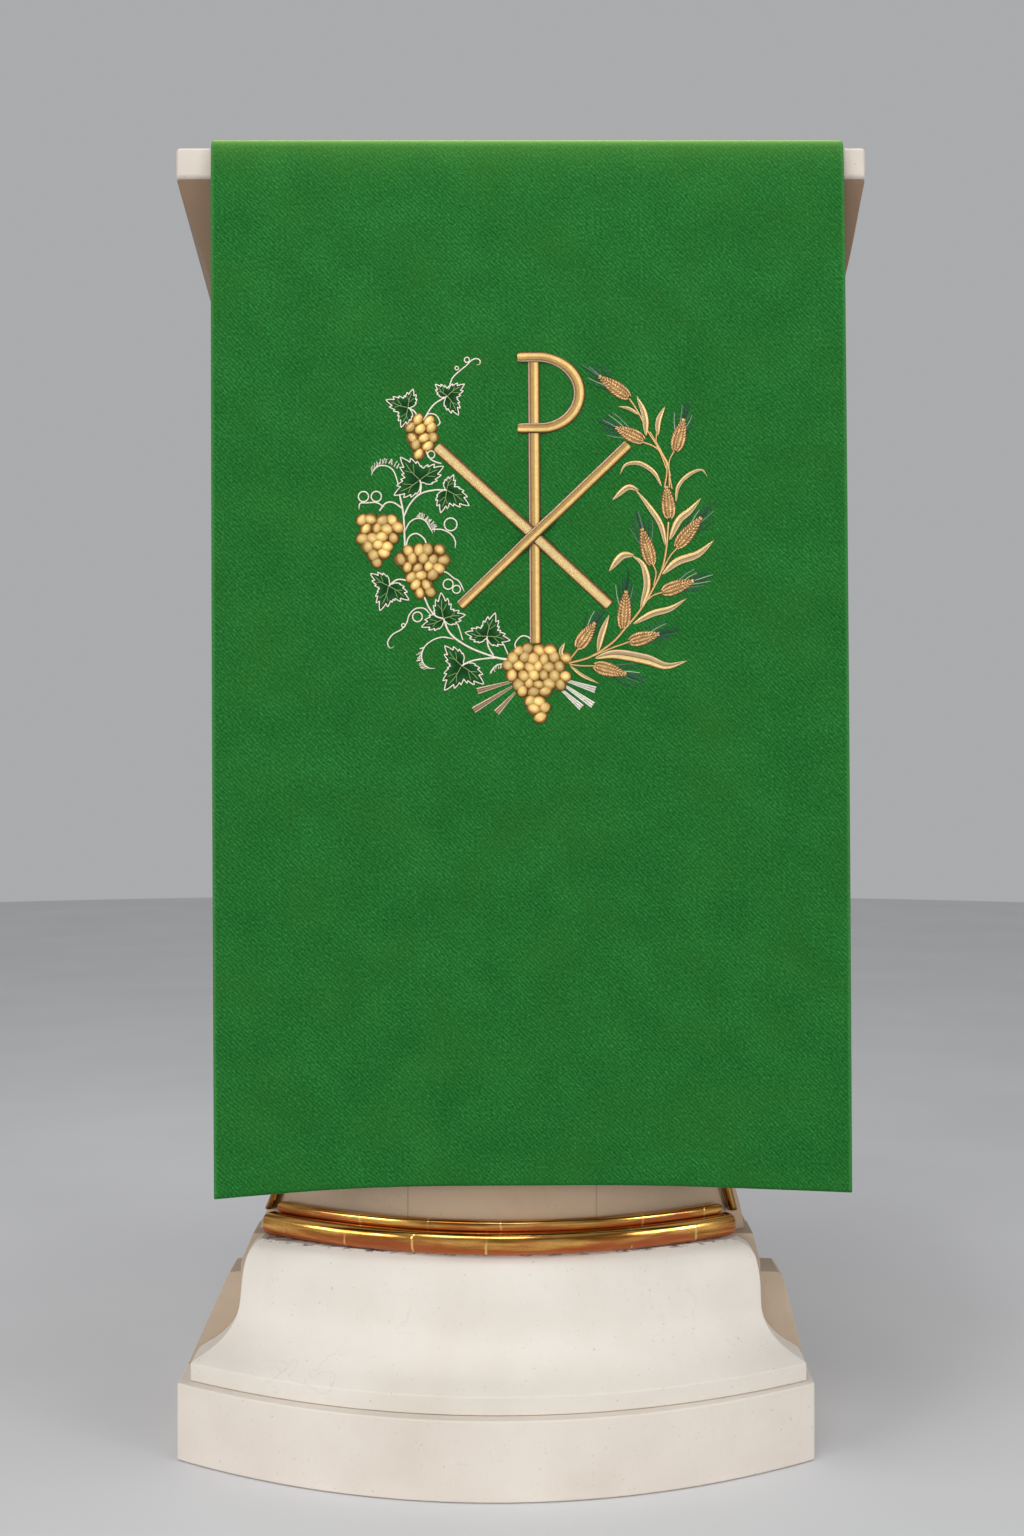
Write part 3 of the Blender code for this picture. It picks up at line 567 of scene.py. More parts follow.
RIBBON = stitched(
    "ribbon_thread", 0.0009, 0.8,
    (0.00, 0.40, 0.290, 0.180), (0.14, 0.76, 0.600, 0.420), (0.26, 0.130, 0.065, 0.030),
    (0.50, 0.40, 0.260, 0.140), (0.74, 0.130, 0.065, 0.030), (0.86, 0.76, 0.600, 0.420),
    (1.00, 0.40, 0.290, 0.180), tone_span=0.5)
RIBBON_SILVER = stitched(
    "ribbon_silver", 0.0009, 0.8,
    (0.00, 0.54, 0.500, 0.430), (0.16, 0.96, 0.930, 0.860), (0.28, 0.20, 0.160, 0.120),
    (0.50, 0.70, 0.660, 0.580), (0.74, 0.20, 0.160, 0.120), (0.86, 0.96, 0.930, 0.860),
    (1.00, 0.54, 0.500, 0.430), tone_span=0.5)
print("finishes of thread:", len(STITCHED))

# %% [markdown]
# The lectern's sizes follow. Its foot and body are curved forward like the front of a chest. Each row
# of a table is one level, and smooth curves through the rows give the levels between.

# %% Sizes of the lectern
GAP = 0.0003
BASE_WIDTH = 0.516
PLINTH_HEIGHT = 0.0626
BASE_FRONT_Y = -0.210
BASE_BACK_Y = 0.160
BASE_BOW = 0.0815
BASE_TOP_Z = 0.1715
DESK_WIDTH = 0.548
DESK_DEPTH = 0.400
DESK_THICK = 0.0245
DESK_FRONT_Y = -0.155
DESK_TOP_Z = 1.053
DESK_CENTRE_X = 0.020
DESK_TILT = np.radians(20)
DESK_SLOPE = np.tan(DESK_TILT)
HEAD_START_Z = 0.700
FINE_ARC = 72

FILLET_INSET = 0.010
MOULDING_ROWS = table(
    "inset z right_out",
    (FILLET_INSET, 0.0770, 0.0040),
    (0.0140, 0.0796, 0.0040),
    (0.0260, 0.0870, 0.0045),
    (0.0350, 0.0950, 0.0050),
    (0.0410, 0.1030, 0.0055),
    (0.0460, 0.1140, 0.0065),
    (0.0480, 0.1270, 0.0075),
    (0.0490, 0.1390, 0.0080),
    (0.0510, 0.1520, 0.0080),
    (0.0540, 0.1610, 0.0080),
    (0.0580, 0.1672, 0.0060),
    (0.0640, BASE_TOP_Z, 0.0030),
)
MOULDING_BACK_Y = -0.085
SHAFT_FRONT_Y = -0.1395
SHAFT_ROWS = table(
    "z left right bow back",
    (BASE_TOP_Z + GAP, -0.2000, 0.2090, 0.072, 0.130),
    (0.1910, -0.1924, 0.2055, 0.070, 0.126),
    (0.2080, -0.1855, 0.2010, 0.068, 0.122),
    (0.2500, -0.1765, 0.1920, 0.066, 0.117),
    (0.3500, -0.1700, 0.1850, 0.064, 0.113),
    (0.5500, -0.1700, 0.1860, 0.062, 0.113),
    (HEAD_START_Z - GAP, -0.1790, 0.1990, 0.058, 0.117),
)
HEAD_TOP_Z = DESK_TOP_Z - DESK_THICK - GAP
HEAD_ROWS = table(
    "z left right front bow back tilt",
    (HEAD_START_Z, -0.1790, 0.1990, SHAFT_FRONT_Y, 0.058, 0.117, 0.0),
    (0.790, -0.1930, 0.2200, -0.1405, 0.045, 0.127, 0.10),
    (0.880, -0.2110, 0.2520, -0.1435, 0.027, 0.143, 0.22),
    (0.950, -0.2280, 0.2780, -0.1480, 0.012, 0.160, 0.31),
    (HEAD_TOP_Z, -0.2535, 0.2935, -0.1535, 0.0, 0.185, DESK_SLOPE),
)
print("levels:", len(MOULDING_ROWS) + len(SHAFT_ROWS) + len(HEAD_ROWS))


# %% Surfaces of the lectern
def hermite(t, start, start_slope, end, end_slope):
    """A cubic curve from start to end that leaves and arrives by the given slopes; t runs from 0 to 1."""
    return (
        (2 * t**3 - 3 * t**2 + 1) * start + (t**3 - 2 * t**2 + t) * start_slope
        + (3 * t**2 - 2 * t**3) * end + (t**3 - t**2) * end_slope
    )


def smooth_rows(rows, between):
    """Levels on cubic curves through the rows, so that each column changes smoothly with height."""
    heights = np.array([row["z"] for row in rows])
    spans = np.linspace(0, len(rows) - 1, (len(rows) - 1) * between + 1)
    z = np.interp(spans, np.arange(len(rows)), heights)
    low = np.clip(np.searchsorted(heights, z, side="right") - 1, 0, len(rows) - 2)
    size = heights[low + 1] - heights[low]
    t = (z - heights[low]) / size
    columns = {}
    for key in rows[0]:
        values = np.array([row[key] for row in rows])
        slope = np.gradient(values, heights)
        columns[key] = hermite(t, values[low], size * slope[low], values[low + 1], size * slope[low + 1])
    return {**columns, "z": z}


def bowed_rings(z, left, right, front, bow, back, tilt=0.0):
    """Rings with a bowed front: y = front + bow * (place between the middle and the end) squared."""
    columns = np.broadcast_arrays(z, left, right, front, bow, back, tilt)
    z, left, right, front, bow, back, tilt = (column[:, None] for column in columns)
    across = np.linspace(-1, 1, FINE_ARC + 1)
    x = np.concatenate([(left + right) / 2 + (right - left) / 2 * across, right, left], axis=1)
    y = np.concatenate([front + bow * across**2, back, back], axis=1)
    return np.stack([x, y, z - tilt * (y - DESK_FRONT_Y)], axis=-1)


def add_rings(name, rings, finish, bevel=0.0):
    """A closed skin over the rings, its sharp edges softened by a bevel."""
    piece = put_mesh(name, ringed(rings), finish, [name.replace("_surface", "")], 30)
    if bevel:
        soft = piece.modifiers.new("soft edges", "BEVEL")
        soft.width = bevel
        soft.segments = 3
        soft.limit_method = "ANGLE"
        soft.angle_limit = np.radians(40)
        soft.harden_normals = True


# %% [markdown]
# The plinth stands on the floor with a plain bowed face. The moulding on it is hollow below and round
# above, and the block behind has sloping shoulders. All are lofts: flat rings, one above the other.

# %% Plinth, moulding and block
half = BASE_WIDTH / 2
add_rings("plinth_surface", bowed_rings(
    np.array([0.0, PLINTH_HEIGHT]), -half, half, BASE_FRONT_Y, BASE_BOW, BASE_BACK_Y), PAINT_FRONT, 0.0016)

rows = smooth_rows(MOULDING_ROWS, 4)
foot_row = dict(z=PLINTH_HEIGHT + GAP, inset=FILLET_INSET, right_out=MOULDING_ROWS[0]["right_out"])
rows = {key: np.concatenate([[foot_row[key]], values]) for key, values in rows.items()}
reach = half - rows["inset"]
add_rings("base_moulding_surface", bowed_rings(
    rows["z"], -reach, reach + rows["right_out"], BASE_FRONT_Y + rows["inset"],
    BASE_BOW * (2 * reach / BASE_WIDTH) ** 2, MOULDING_BACK_Y), PAINT_MOULDING, 0.0009)

SHOULDER_BACK_Y = -0.045
BLOCK_BACK_Y = 0.150
BLOCK_ROWS = table(
    "z left right rear_left rear_right",
    (PLINTH_HEIGHT + GAP, -0.2570, 0.2575, -0.2124, 0.2193),
    (0.1340, -0.2255, 0.2398, -0.2124, 0.2193),
    (0.1393, -0.2224, 0.2355, -0.2124, 0.2193),
    (0.1399, -0.2134, 0.2203, -0.2124, 0.2193),
    (0.1475, -0.2134, 0.2203, -0.2124, 0.2193),
    (BASE_TOP_Z, -0.2030, 0.2141, -0.2020, 0.2131),
)
BLOCK_CORNERS = table(
    "column y",
    ("left", MOULDING_BACK_Y + GAP), ("right", MOULDING_BACK_Y + GAP),
    ("right", SHOULDER_BACK_Y), ("rear_right", SHOULDER_BACK_Y),
    ("rear_right", BLOCK_BACK_Y), ("rear_left", BLOCK_BACK_Y),
    ("rear_left", SHOULDER_BACK_Y), ("left", SHOULDER_BACK_Y),
)
block = [[(row[corner["column"]], corner["y"], row["z"]) for corner in BLOCK_CORNERS] for row in BLOCK_ROWS]
add_rings("base_block_surface", np.array(block), PAINT_SIDE_SHADED)

# %% Shaft, head and desk
add_rings("shaft_surface", bowed_rings(front=SHAFT_FRONT_Y, **smooth_rows(SHAFT_ROWS, 8)), PAINT_SHAFT_SHADED)
add_rings("head_surface", bowed_rings(**smooth_rows(HEAD_ROWS, 8)), PAINT_SIDE_SHADED, 0.001)

desk_left = DESK_CENTRE_X - DESK_WIDTH / 2
desk_right = DESK_CENTRE_X + DESK_WIDTH / 2
desk_back = DESK_FRONT_Y + DESK_DEPTH * np.cos(DESK_TILT)
desk_x = np.tile([desk_left, desk_right, desk_right, desk_left], (2, 1))
desk_y = np.tile([DESK_FRONT_Y, DESK_FRONT_Y, desk_back, desk_back], (2, 1))
desk_z = np.array([[DESK_TOP_Z - DESK_THICK], [DESK_TOP_Z]]) - DESK_SLOPE * (desk_y - DESK_FRONT_Y)
add_rings("desk_board_surface", np.stack([desk_x, desk_y, desk_z], axis=-1), PAINT_FRONT, 0.003)

# %% [markdown]
# Two gilded rods run round the foot of the shaft and one stands at each front corner. Each is an oval
# carried along a path, which is the shaft's own front, moved out by half the rod's depth. The rings
# of the two at the foot shrink to blunt ends.

# %% Gilded rods
GILT_LEFT_X = -0.1885
GILT_RIGHT_X = 0.1930
GILT_SEAT = 0.0006
GILT_TIP = 0.006
GILT_SQUARE = 0.66
GILT_RODS = table(
    "name z half_depth half_height short",
    ("gilt_roll", 0.1811, 0.0080, 0.0090, 0.0),
    ("gilt_bead", 0.1941, 0.0046, 0.0044, 0.0085),
)
CORNER_RADIUS = 0.0042
CORNER_BOTTOM_Z = 0.1905
CORNER_TOP_Z = HEAD_START_Z - 0.004
CORNER_RODS = table("side inward inset", ("left", 1, 0.0050), ("right", -1, 0.0105))


def shaft_front(x, z):
    """Points on the shaft's bowed front and the way it faces there."""
    rows = smooth_rows(SHAFT_ROWS, 2)
    left, right, bow = (np.interp(z, rows["z"], rows[key]) for key in ("left", "right", "bow"))
    share = (x - (left + right) / 2) / ((right - left) / 2)
    lean = 2 * bow * share / ((right - left) / 2)
    facing = np.stack([lean, -np.ones_like(lean), np.zeros_like(lean)], axis=-1)
    place = np.stack([x, SHAFT_FRONT_Y + bow * share**2, z], axis=-1)
    return place, facing / np.linalg.norm(facing, axis=-1, keepdims=True)


def path_length(path):
    """How far along a path each of its points lies."""
    return np.concatenate([[0.0], np.cumsum(np.linalg.norm(np.diff(path, axis=0), axis=1))])


def rod(path, across, up, widths, heights, sides=28, square=1.0):
    """Ovals along a path: path + across * width * cos^square + up * height * sin^square."""
    turn = np.linspace(0, 2 * np.pi, sides, endpoint=False)
    cos, sin = (np.sign(wave) * np.abs(wave) ** square for wave in (np.cos(turn), np.sin(turn)))
    rings = (
        path[:, None] + cos[None, :, None] * (across * widths[:, None])[:, None]
        + sin[None, :, None] * (up * heights[:, None])[:, None]
    )
    lay = np.stack(np.broadcast_arrays(path_length(path)[:, None], turn * widths.max()), axis=-1)
    return ringed(rings, lay=lay, side=np.broadcast_to(-np.sin(turn), rings.shape[:2]))


def add_gilt_rods():
    """The roll and the bead above it, round the shaft's front."""
    closing = np.linspace(0.06, np.pi / 2, 9)[:-1]
    ends = GILT_TIP * (1 - np.cos(closing))
    size = np.concatenate([np.sin(closing), np.ones(FINE_ARC + 1), np.sin(closing)[::-1]])
    up = np.tile([0.0, 0.0, 1.0], (len(size), 1))
    for row in GILT_RODS:
        left, right = GILT_LEFT_X + row["short"], GILT_RIGHT_X - row["short"]
        inner = np.linspace(left + GILT_TIP, right - GILT_TIP, FINE_ARC + 1)
        x = np.concatenate([left + ends, inner, (right - ends)[::-1]])
        seat, facing = shaft_front(x, np.full_like(x, row["z"] - row["half_height"]))
        path = seat + facing * (row["half_depth"] + GILT_SEAT)
        path[:, 2] = row["z"]
        part = rod(path, -facing, up, row["half_depth"] * size, row["half_height"] * size, square=GILT_SQUARE)
        put_mesh(row["name"] + "_surface", part, GILDING, [row["name"]])


def add_corner_rods():
    """A thin upright rod near each front corner of the shaft."""
    z = np.linspace(CORNER_BOTTOM_Z, CORNER_TOP_Z, 60)
    rows = smooth_rows(SHAFT_ROWS, 2)
    along_x, along_y = (np.tile(way, (len(z), 1)) for way in ([1.0, 0.0, 0.0], [0.0, 1.0, 0.0]))
    radius = np.full_like(z, CORNER_RADIUS)
    for row in CORNER_RODS:
        x = np.interp(z, rows["z"], rows[row["side"]]) + row["inward"] * row["inset"]
        seat, facing = shaft_front(x, z)
        part = rod(seat + facing * (CORNER_RADIUS + GAP), along_x, along_y, radius, radius, sides=16)
        name = f"gilt_corner_{row['side']}"
        put_mesh(name + "_surface", part, GILDING_SHADED, [name])


add_gilt_rods()
add_corner_rods()

# %% [markdown]
# The cloth is one sheet. Seen from the side it lies on the sloping desk, rises off it, turns over the
# edge in an arc and hangs. The hanging part swings forward a little, bulges in the middle, curls
# forward at its side edges and dips at the hem's corners, all by small amounts.

# %% The cloth's shape
CLOTH_THICK = 0.0024
HEM_HEIGHT = 0.2308
EDGE_BEND = 0.0085
EDGE_BEND_Y = -0.1515
EDGE_BEND_Z = DESK_TOP_Z - 0.004
LIFT_LENGTH = 0.060
LIFT_ANGLE = np.radians(28)
DROP = EDGE_BEND_Z - HEM_HEIGHT
TOP_CENTRE_X = 0.025
HEM_DRIFT_X = 0.005
MIDDLE_BULGE = 0.005
SWING = {"forward": 0.0025, "fade": 0.018}
EDGE_FORWARD = {"left": 0.012, "right": 0.008}
EDGE_DIP = {"left": 0.0080, "right": 0.0040}
EDGE_POWER = 2.3
RIPPLE = {"depth": 0.0012, "length": 0.21, "start": 0.03}
DENT = {"u": 0.129, "below_edge": 0.022, "wide": 0.020, "high": 0.014, "depth": 0.0014}


def direction(angle):
    """Steps of length one at the angles."""
    return np.stack([np.cos(angle), np.sin(angle)], axis=-1)


def side_path():
    """The cloth's middle line from the side: points (y, z) and their distance from the reader's end."""
    slope = np.array([-np.cos(DESK_TILT), np.sin(DESK_TILT)])
    square = np.array([np.sin(DESK_TILT), np.cos(DESK_TILT)])
    edge = np.array([DESK_FRONT_Y, DESK_TOP_Z]) + square * (GAP + CLOTH_THICK / 2)
    lift = edge - slope * LIFT_LENGTH
    turn = np.linspace(np.pi / 2 - LIFT_ANGLE, np.pi, 60)
    bend = np.array([EDGE_BEND_Y, EDGE_BEND_Z]) + EDGE_BEND * direction(turn)
    reach = np.linalg.norm(bend[0] - lift)
    arriving = np.array([-np.cos(LIFT_ANGLE), np.sin(LIFT_ANGLE)]) * reach
    rise = hermite(np.linspace(0, 1, 60)[:, None], lift, slope * reach, bend[0], arriving)
    bent = np.concatenate([rise, bend[1:], [[bend[-1, 0], bend[-1, 1] - DROP]]])
    gone = path_length(bent)
    lying = CLOTH_LENGTH - gone[-1]
    return np.concatenate([[lift - slope * lying], bent]), np.concatenate([[0.0], lying + gone])


PATH, DISTANCE = side_path()
EDGE_S = CLOTH_LENGTH - DROP
print("on the desk:", round(EDGE_S, 3), "m, hanging:", round(DROP, 3), "m")


def by_side(sizes, u):
    """A size that changes over from left to right within 5 cm of the cloth's middle."""
    return sizes["right"] + (sizes["left"] - sizes["right"]) * np.clip(0.5 - 0.5 * u / 0.05, 0, 1)


def drape(u, s):
    """Middle of the cloth at u across from its centre line and s along it from the reader's end."""
    hang = np.clip((s - EDGE_S) / DROP, 0, 1)
    curl = (np.abs(u) / (CLOTH_WIDTH / 2)) ** EDGE_POWER
    ripple = RIPPLE["depth"] * hang * np.sin(2 * np.pi * (u - RIPPLE["start"]) / RIPPLE["length"])
    below = (s - EDGE_S - DENT["below_edge"]) / DENT["high"]
    dent = DENT["depth"] * np.exp(-(((u - DENT["u"]) / DENT["wide"]) ** 2) - below**2)
    bulge = MIDDLE_BULGE * np.sin(np.pi * hang)
    swing = SWING["forward"] * (1 - np.exp(-np.clip(s - EDGE_S, 0, None) / SWING["fade"]))
    forward = by_side(EDGE_FORWARD, u) * curl * hang**2
    x = TOP_CENTRE_X + HEM_DRIFT_X * hang + u
    y = np.interp(s, DISTANCE, PATH[:, 0]) - bulge - swing - forward + ripple + dent
    z = np.interp(s, DISTANCE, PATH[:, 1]) - by_side(EDGE_DIP, u) * curl * hang
    return np.stack([x, y, z], axis=-1)


def cloth_normal(u, s, step=0.0005):
    """The way the cloth's outer face looks: cross product of small steps along and across it."""
    across = drape(u + step, s) - drape(u - step, s)
    along = drape(u, s + step) - drape(u, s - step)
    normal = np.cross(along, across)
    return normal / np.linalg.norm(normal, axis=-1, keepdims=True)


# %% The cloth as a mesh
FACE_COLUMNS = 96
COLUMN_CROWDING = 1.2
BEND_SPAN = 0.022


def add_cover():
    """One ring round the sheet for each row along it: out over the face, round the edge, back behind."""
    half = CLOTH_THICK / 2
    s = np.concatenate([
        np.linspace(0.0, DISTANCE[1], 24)[:-1],
        np.linspace(DISTANCE[1], EDGE_S - BEND_SPAN, 16)[:-1],
        np.linspace(EDGE_S - BEND_SPAN, EDGE_S, 22)[:-1],
        EDGE_S + DROP * np.linspace(0, 1, 130) ** 1.2,
    ])
    closing = np.linspace(0.05, np.pi / 2, 5)[:-1]
    ends = half * (1 - np.cos(closing))
    s = np.concatenate([ends, np.clip(s, half, CLOTH_LENGTH - half), (CLOTH_LENGTH - ends)[::-1]])
    thin = np.ones((len(s), 1))
    thin[:len(closing), 0] = np.sin(closing)
    thin[-len(closing):, 0] = np.sin(closing)[::-1]
    turn = np.linspace(-1, 1, FACE_COLUMNS) * COLUMN_CROWDING
    u = CLOTH_WIDTH / 2 * np.sin(turn) / np.sin(COLUMN_CROWDING)
    out, off = direction(np.linspace(np.pi / 2, -np.pi / 2, 7)[1:-1]).T
    flat = np.ones(FACE_COLUMNS)
    ring = np.concatenate([u, np.full(len(out), u[-1]), u[::-1], np.full(len(out), u[0])])
    push = np.concatenate([0 * flat, out, 0 * flat, -out]) * half
    height = np.concatenate([flat, off, -flat, -off]) * half
    lay_u, ss = np.meshgrid(ring, s)
    uu = lay_u * (1 - half / (CLOTH_WIDTH / 2))
    normal = cloth_normal(uu, np.clip(ss, 0.001, CLOTH_LENGTH - 0.001))
    points = drape(uu, ss) + normal * (height * thin)[..., None]
    points[..., 0] += push * thin
    part = ringed(points, lay=np.stack([lay_u, ss], axis=-1))
    return put_mesh("cover_cloth", part, CLOTH_GREEN, ["cover"])


cover = add_cover()

# %% [markdown]
# The wreath is stitched on the hanging part. Everything in it is planned flat, as a across and b up
# from the wreath's middle in millimetres, and is then laid on the cloth's real curve. The basic shape
# is a stroke: a path with a width and a padded height.

# %% Strokes on the cloth
WREATH_U = 0.004
WREATH_Z = 0.7394
STITCH = 0.0009
UNDER = -0.0003
OVERLAP = 0.0003
CORD_HEIGHT = 0.0008
THIN_CORD_HEIGHT = 0.0007
ROUND = dict(place=[1, 0.8, 0.4, 0, -0.4, -0.8, -1], height=[0.1, 0.62, 0.92, 1, 0.92, 0.62, 0.1])
PADDED = dict(
    place=[1, 0.93, 0.78, 0.62, 0.45, 0.2, 0, -0.2, -0.45, -0.62, -0.78, -0.93, -1],
    height=[0.1, 0.5, 0.72, 0.95, 1, 0.98, 0.97, 0.98, 1, 0.95, 0.72, 0.5, 0.1],
)


def on_cloth(a, b, height):
    """A point of the stitching: a across and b up from the wreath's middle, height above the face."""
    u = WREATH_U + a
    s = EDGE_S + (EDGE_BEND_Z - WREATH_Z) - b
    return drape(u, s) + cloth_normal(u, s) * (CLOTH_THICK / 2 + height)[..., None]


def curve(points, step=0.8):
    """A smooth path through points in mm: a Catmull-Rom curve, then even steps along its length."""
    points = np.asarray(points, float)
    if len(points) == 2:
        points = np.array([points[0], points.mean(axis=0), points[1]])
    ends = np.concatenate([[2 * points[0] - points[1]], points, [2 * points[-1] - points[-2]]])
    t = np.linspace(0, 1, 16, endpoint=False)[None, :, None]
    p0, p1, p2, p3 = (ends[i:len(ends) - 3 + i][:, None] for i in range(4))
    bends = (2 * p0 - 5 * p1 + 4 * p2 - p3) * t**2 + (3 * p1 - p0 - 3 * p2 + p3) * t**3
    spans = 0.5 * (2 * p1 + (p2 - p0) * t + bends)
    dense = np.concatenate([spans.reshape(-1, 2), points[-1:]])
    length = path_length(dense)
    even = np.linspace(0, length[-1], max(6, int(length[-1] / step) + 1))
    return np.stack([np.interp(even, length, dense[:, axis]) for axis in (0, 1)], axis=-1) / 1000


def stroke(path, width, height, section=ROUND, lift=0.0, tone=0.5, flip=1.0):
    """A ridge along a path: across it the section's place * half width, its height * padding, flat below."""
    along = np.gradient(path, axis=0)
    along /= np.linalg.norm(along, axis=1, keepdims=True) + 1e-12
    side = np.stack([-along[:, 1], along[:, 0]], axis=-1)
    width, lift = (np.broadcast_to(size, len(path))[:, None] for size in (width, lift))
    place = np.array(section["place"] + [section["place"][-1], section["place"][0]], float)
    flat = place * width / 2
    plan = path[:, None] + side[:, None] * flat[..., None]
    padding = np.array(section["height"]) * height * np.clip(width / width.max(), 0.25, 1)
    off = lift + np.concatenate([padding, np.full((len(path), 2), UNDER)], axis=1)
    rings = on_cloth(plan[..., 0], plan[..., 1], off)[:, ::-1]
    lay = np.stack(np.broadcast_arrays(path_length(path)[:, None], flat), axis=-1)[:, ::-1]
    across = np.broadcast_to(place * flip, flat.shape)[:, ::-1]
    return ringed(rings, lay=lay, side=across, tone=np.full(flat.shape, float(tone)))


def joined(parts):
    """Several parts as one: their arrays end to end, face numbers moved up by the points before them."""
    starts = np.cumsum([0] + [len(part["points"]) for part in parts[:-1]])
    faces = [rows + start for part, start in zip(parts, starts) for rows in part["faces"]]
    sizes = sorted({rows.shape[1] for rows in faces})
    merged = {key: np.concatenate([part[key] for part in parts]) for key in ("points", "lay", "side", "tone")}
    merged["faces"] = [np.concatenate([rows for rows in faces if rows.shape[1] == size]) for size in sizes]
    return merged


def tapered(count, width, start=0.5, end=0.25):
    """Widths along a stroke, full in its middle and drawn in towards both ends."""
    t = np.linspace(0, 1, count)
    return width * np.clip(np.minimum(start + t * 6, end + (1 - t) * 6), 0, 1)


def numbered(name, rows):
    """The names of the solids that a set of rows stands for, counted from one."""
    return [f"{name}_{number}" for number in range(1, len(rows) + 1)]


# %% [markdown]
# The monogram is two Greek letters, chi and rho, in thick padded gold. Its bars are blunt ended and
# cross over one another, so a bar on top rises smoothly by the thickness of the one below.

# %% Monogram
BOW_CENTRE = np.array([4.0, 115.5])
BOW_RADIUS = np.array([31.8, 28.0])
BOW_BAR_START = -13.0
BOW_WIDTH = dict(least=0.0080, more=0.0014, within=0.030, blunt=0.003)
BAR_HEIGHT = STITCH * 1.3
BARS = table(
    "name ends width level flip finish",
    ("monogram_staff", ((0, 144.5), (0, -81.5)), 0.0095, 0, 1.0, GOLD_BAR),
    ("monogram_falling", ((-76.5, 73.5), (58.5, -51.5)), 0.0095, 1, 1.0, GOLD_BAR_CENTRE_HIGHLIGHT),
    ("monogram_rising", ((-59, -52), (74, 75)), 0.0085, 2, -1.0, GOLD_BAR),
)
CROSSING = np.array([0.0, 0.004])
RISE_SPAN = dict(full=0.012, slope=0.012)
STAFF_SPAN = dict(full=0.006, slope=0.010)
STEP = STITCH + GAP


def blunt(path, width, inset=0.0007):
    """Widths of a bar with slightly rounded ends."""
    gone = path_length(path)
    near = np.minimum(gone, gone[-1] - gone)
    return width * (0.80 + 0.20 * np.sqrt(np.clip(near / inset, 0, 1)))


def closeness(away, span):
    """1 within a span's full part, falling straight to 0 over its slope."""
    return 1 - np.clip((away - span["full"]) / span["slope"], 0, 1)


def add_monogram():
    """Three straight bars, and the bow as one path: over the staff, round, and back to it."""
    for bar in BARS:
        path = curve(bar["ends"], 0.6)
        near = closeness(np.linalg.norm(path - CROSSING, axis=1), RISE_SPAN)
        lift = bar["level"] * STEP * near**2 * (3 - 2 * near)
        part = stroke(path, blunt(path, bar["width"]), BAR_HEIGHT, PADDED, lift, flip=bar["flip"])
        put_mesh(bar["name"] + "_bar", part, bar["finish"], [bar["name"]])
    bend = BOW_CENTRE + BOW_RADIUS * direction(np.linspace(np.pi / 2, -np.pi / 2, 60))
    bar = np.linspace(BOW_BAR_START, BOW_CENTRE[0], 18)[:-1]
    upper = np.stack([bar, np.full_like(bar, bend[0, 1])], axis=-1)
    lower = np.stack([bar[::-1], np.full_like(bar, bend[-1, 1])], axis=-1)
    path = np.concatenate([upper, bend, lower]) / 1000
    fuller = np.clip(path[:, 0] / BOW_WIDTH["within"], 0, 1) ** 2
    width = blunt(path, BOW_WIDTH["least"] + BOW_WIDTH["more"] * fuller, BOW_WIDTH["blunt"])
    part = stroke(path, width, BAR_HEIGHT, PADDED, STEP * closeness(np.abs(path[:, 0]), STAFF_SPAN))
    put_mesh("monogram_bow_bar", part, GOLD_BAR, ["monogram_bow"])


add_monogram()

# %% [markdown]
# The vine climbs the left side. Its stems and tendrils are thin silver cords. Each leaf has three
# pointed lobes with a toothed edge: a dark green filling, a silver outline and a vein down each lobe.

# %% Vine leaves
LEAVES = table(
    "a b lobes",
    (-99, 104, ((15, 75), (18, 160), (16, 250))),
    (-68, 113, ((16, 35), (17, -60), (13, 135))),
    (-90, 47, ((21, 30), (23, 130), (23, 210))),
    (-69, 39, ((13, 65), (21, -35), (18, 255))),
    (-115, -36, ((17, 145), (19, -35), (20, 250))),
    (-72, -62, ((20, 95), (17, 10), (18, 200))),
    (-38, -76, ((19, 70), (18, -10), (17, 170))),
    (-58, -99, ((20, 130), (22, -40), (23, 235))),
)
LOBE_SPREAD = 0.80
LOBE_POINT = 1.1
LOBE_SHARE = 0.74
FILL_SHARE = 0.97
FILL_HEIGHT = 0.0004
OUTLINE = dict(width=0.0010, height=0.0006)
VEIN = dict(width=0.0009, height=0.0006, long=0.78, bow=0.8, bow_at=0.4)
SIDE_VEIN = dict(width=0.0007, height=0.0005, start=0.30, long=0.34, turn=34)
TEETH = table(
    "turn share",
    (-46, 0.50), (-32, 0.66), (-17, 0.82), (0, 1.03), (17, 0.82), (32, 0.66), (46, 0.50),
)
TOOTH_WIDTH = np.radians(7.5)
TOOTH_FALL = 0.22
TOOTH_REACH = 2.2


def leaf_radius(angle, lobes):
    """The longest tooth in each direction. Each lobe has seven teeth, over a smooth lobe a little shorter."""
    reach = np.zeros_like(angle)
    for length, points in lobes:
        away = (angle - np.radians(points) + np.pi) % (2 * np.pi) - np.pi
        fall = np.exp(-((np.abs(away) / LOBE_SPREAD) ** LOBE_POINT))
        reach = np.maximum(reach, LOBE_SHARE * length * fall)
        for tooth in TEETH:
            apart = np.abs(away - np.radians(tooth["turn"])) / TOOTH_WIDTH
            tip = tooth["share"] * length * (1 - TOOTH_FALL * apart)
            reach = np.maximum(reach, tip * (apart < TOOTH_REACH))
    return reach[..., None] / 1000 * direction(angle)


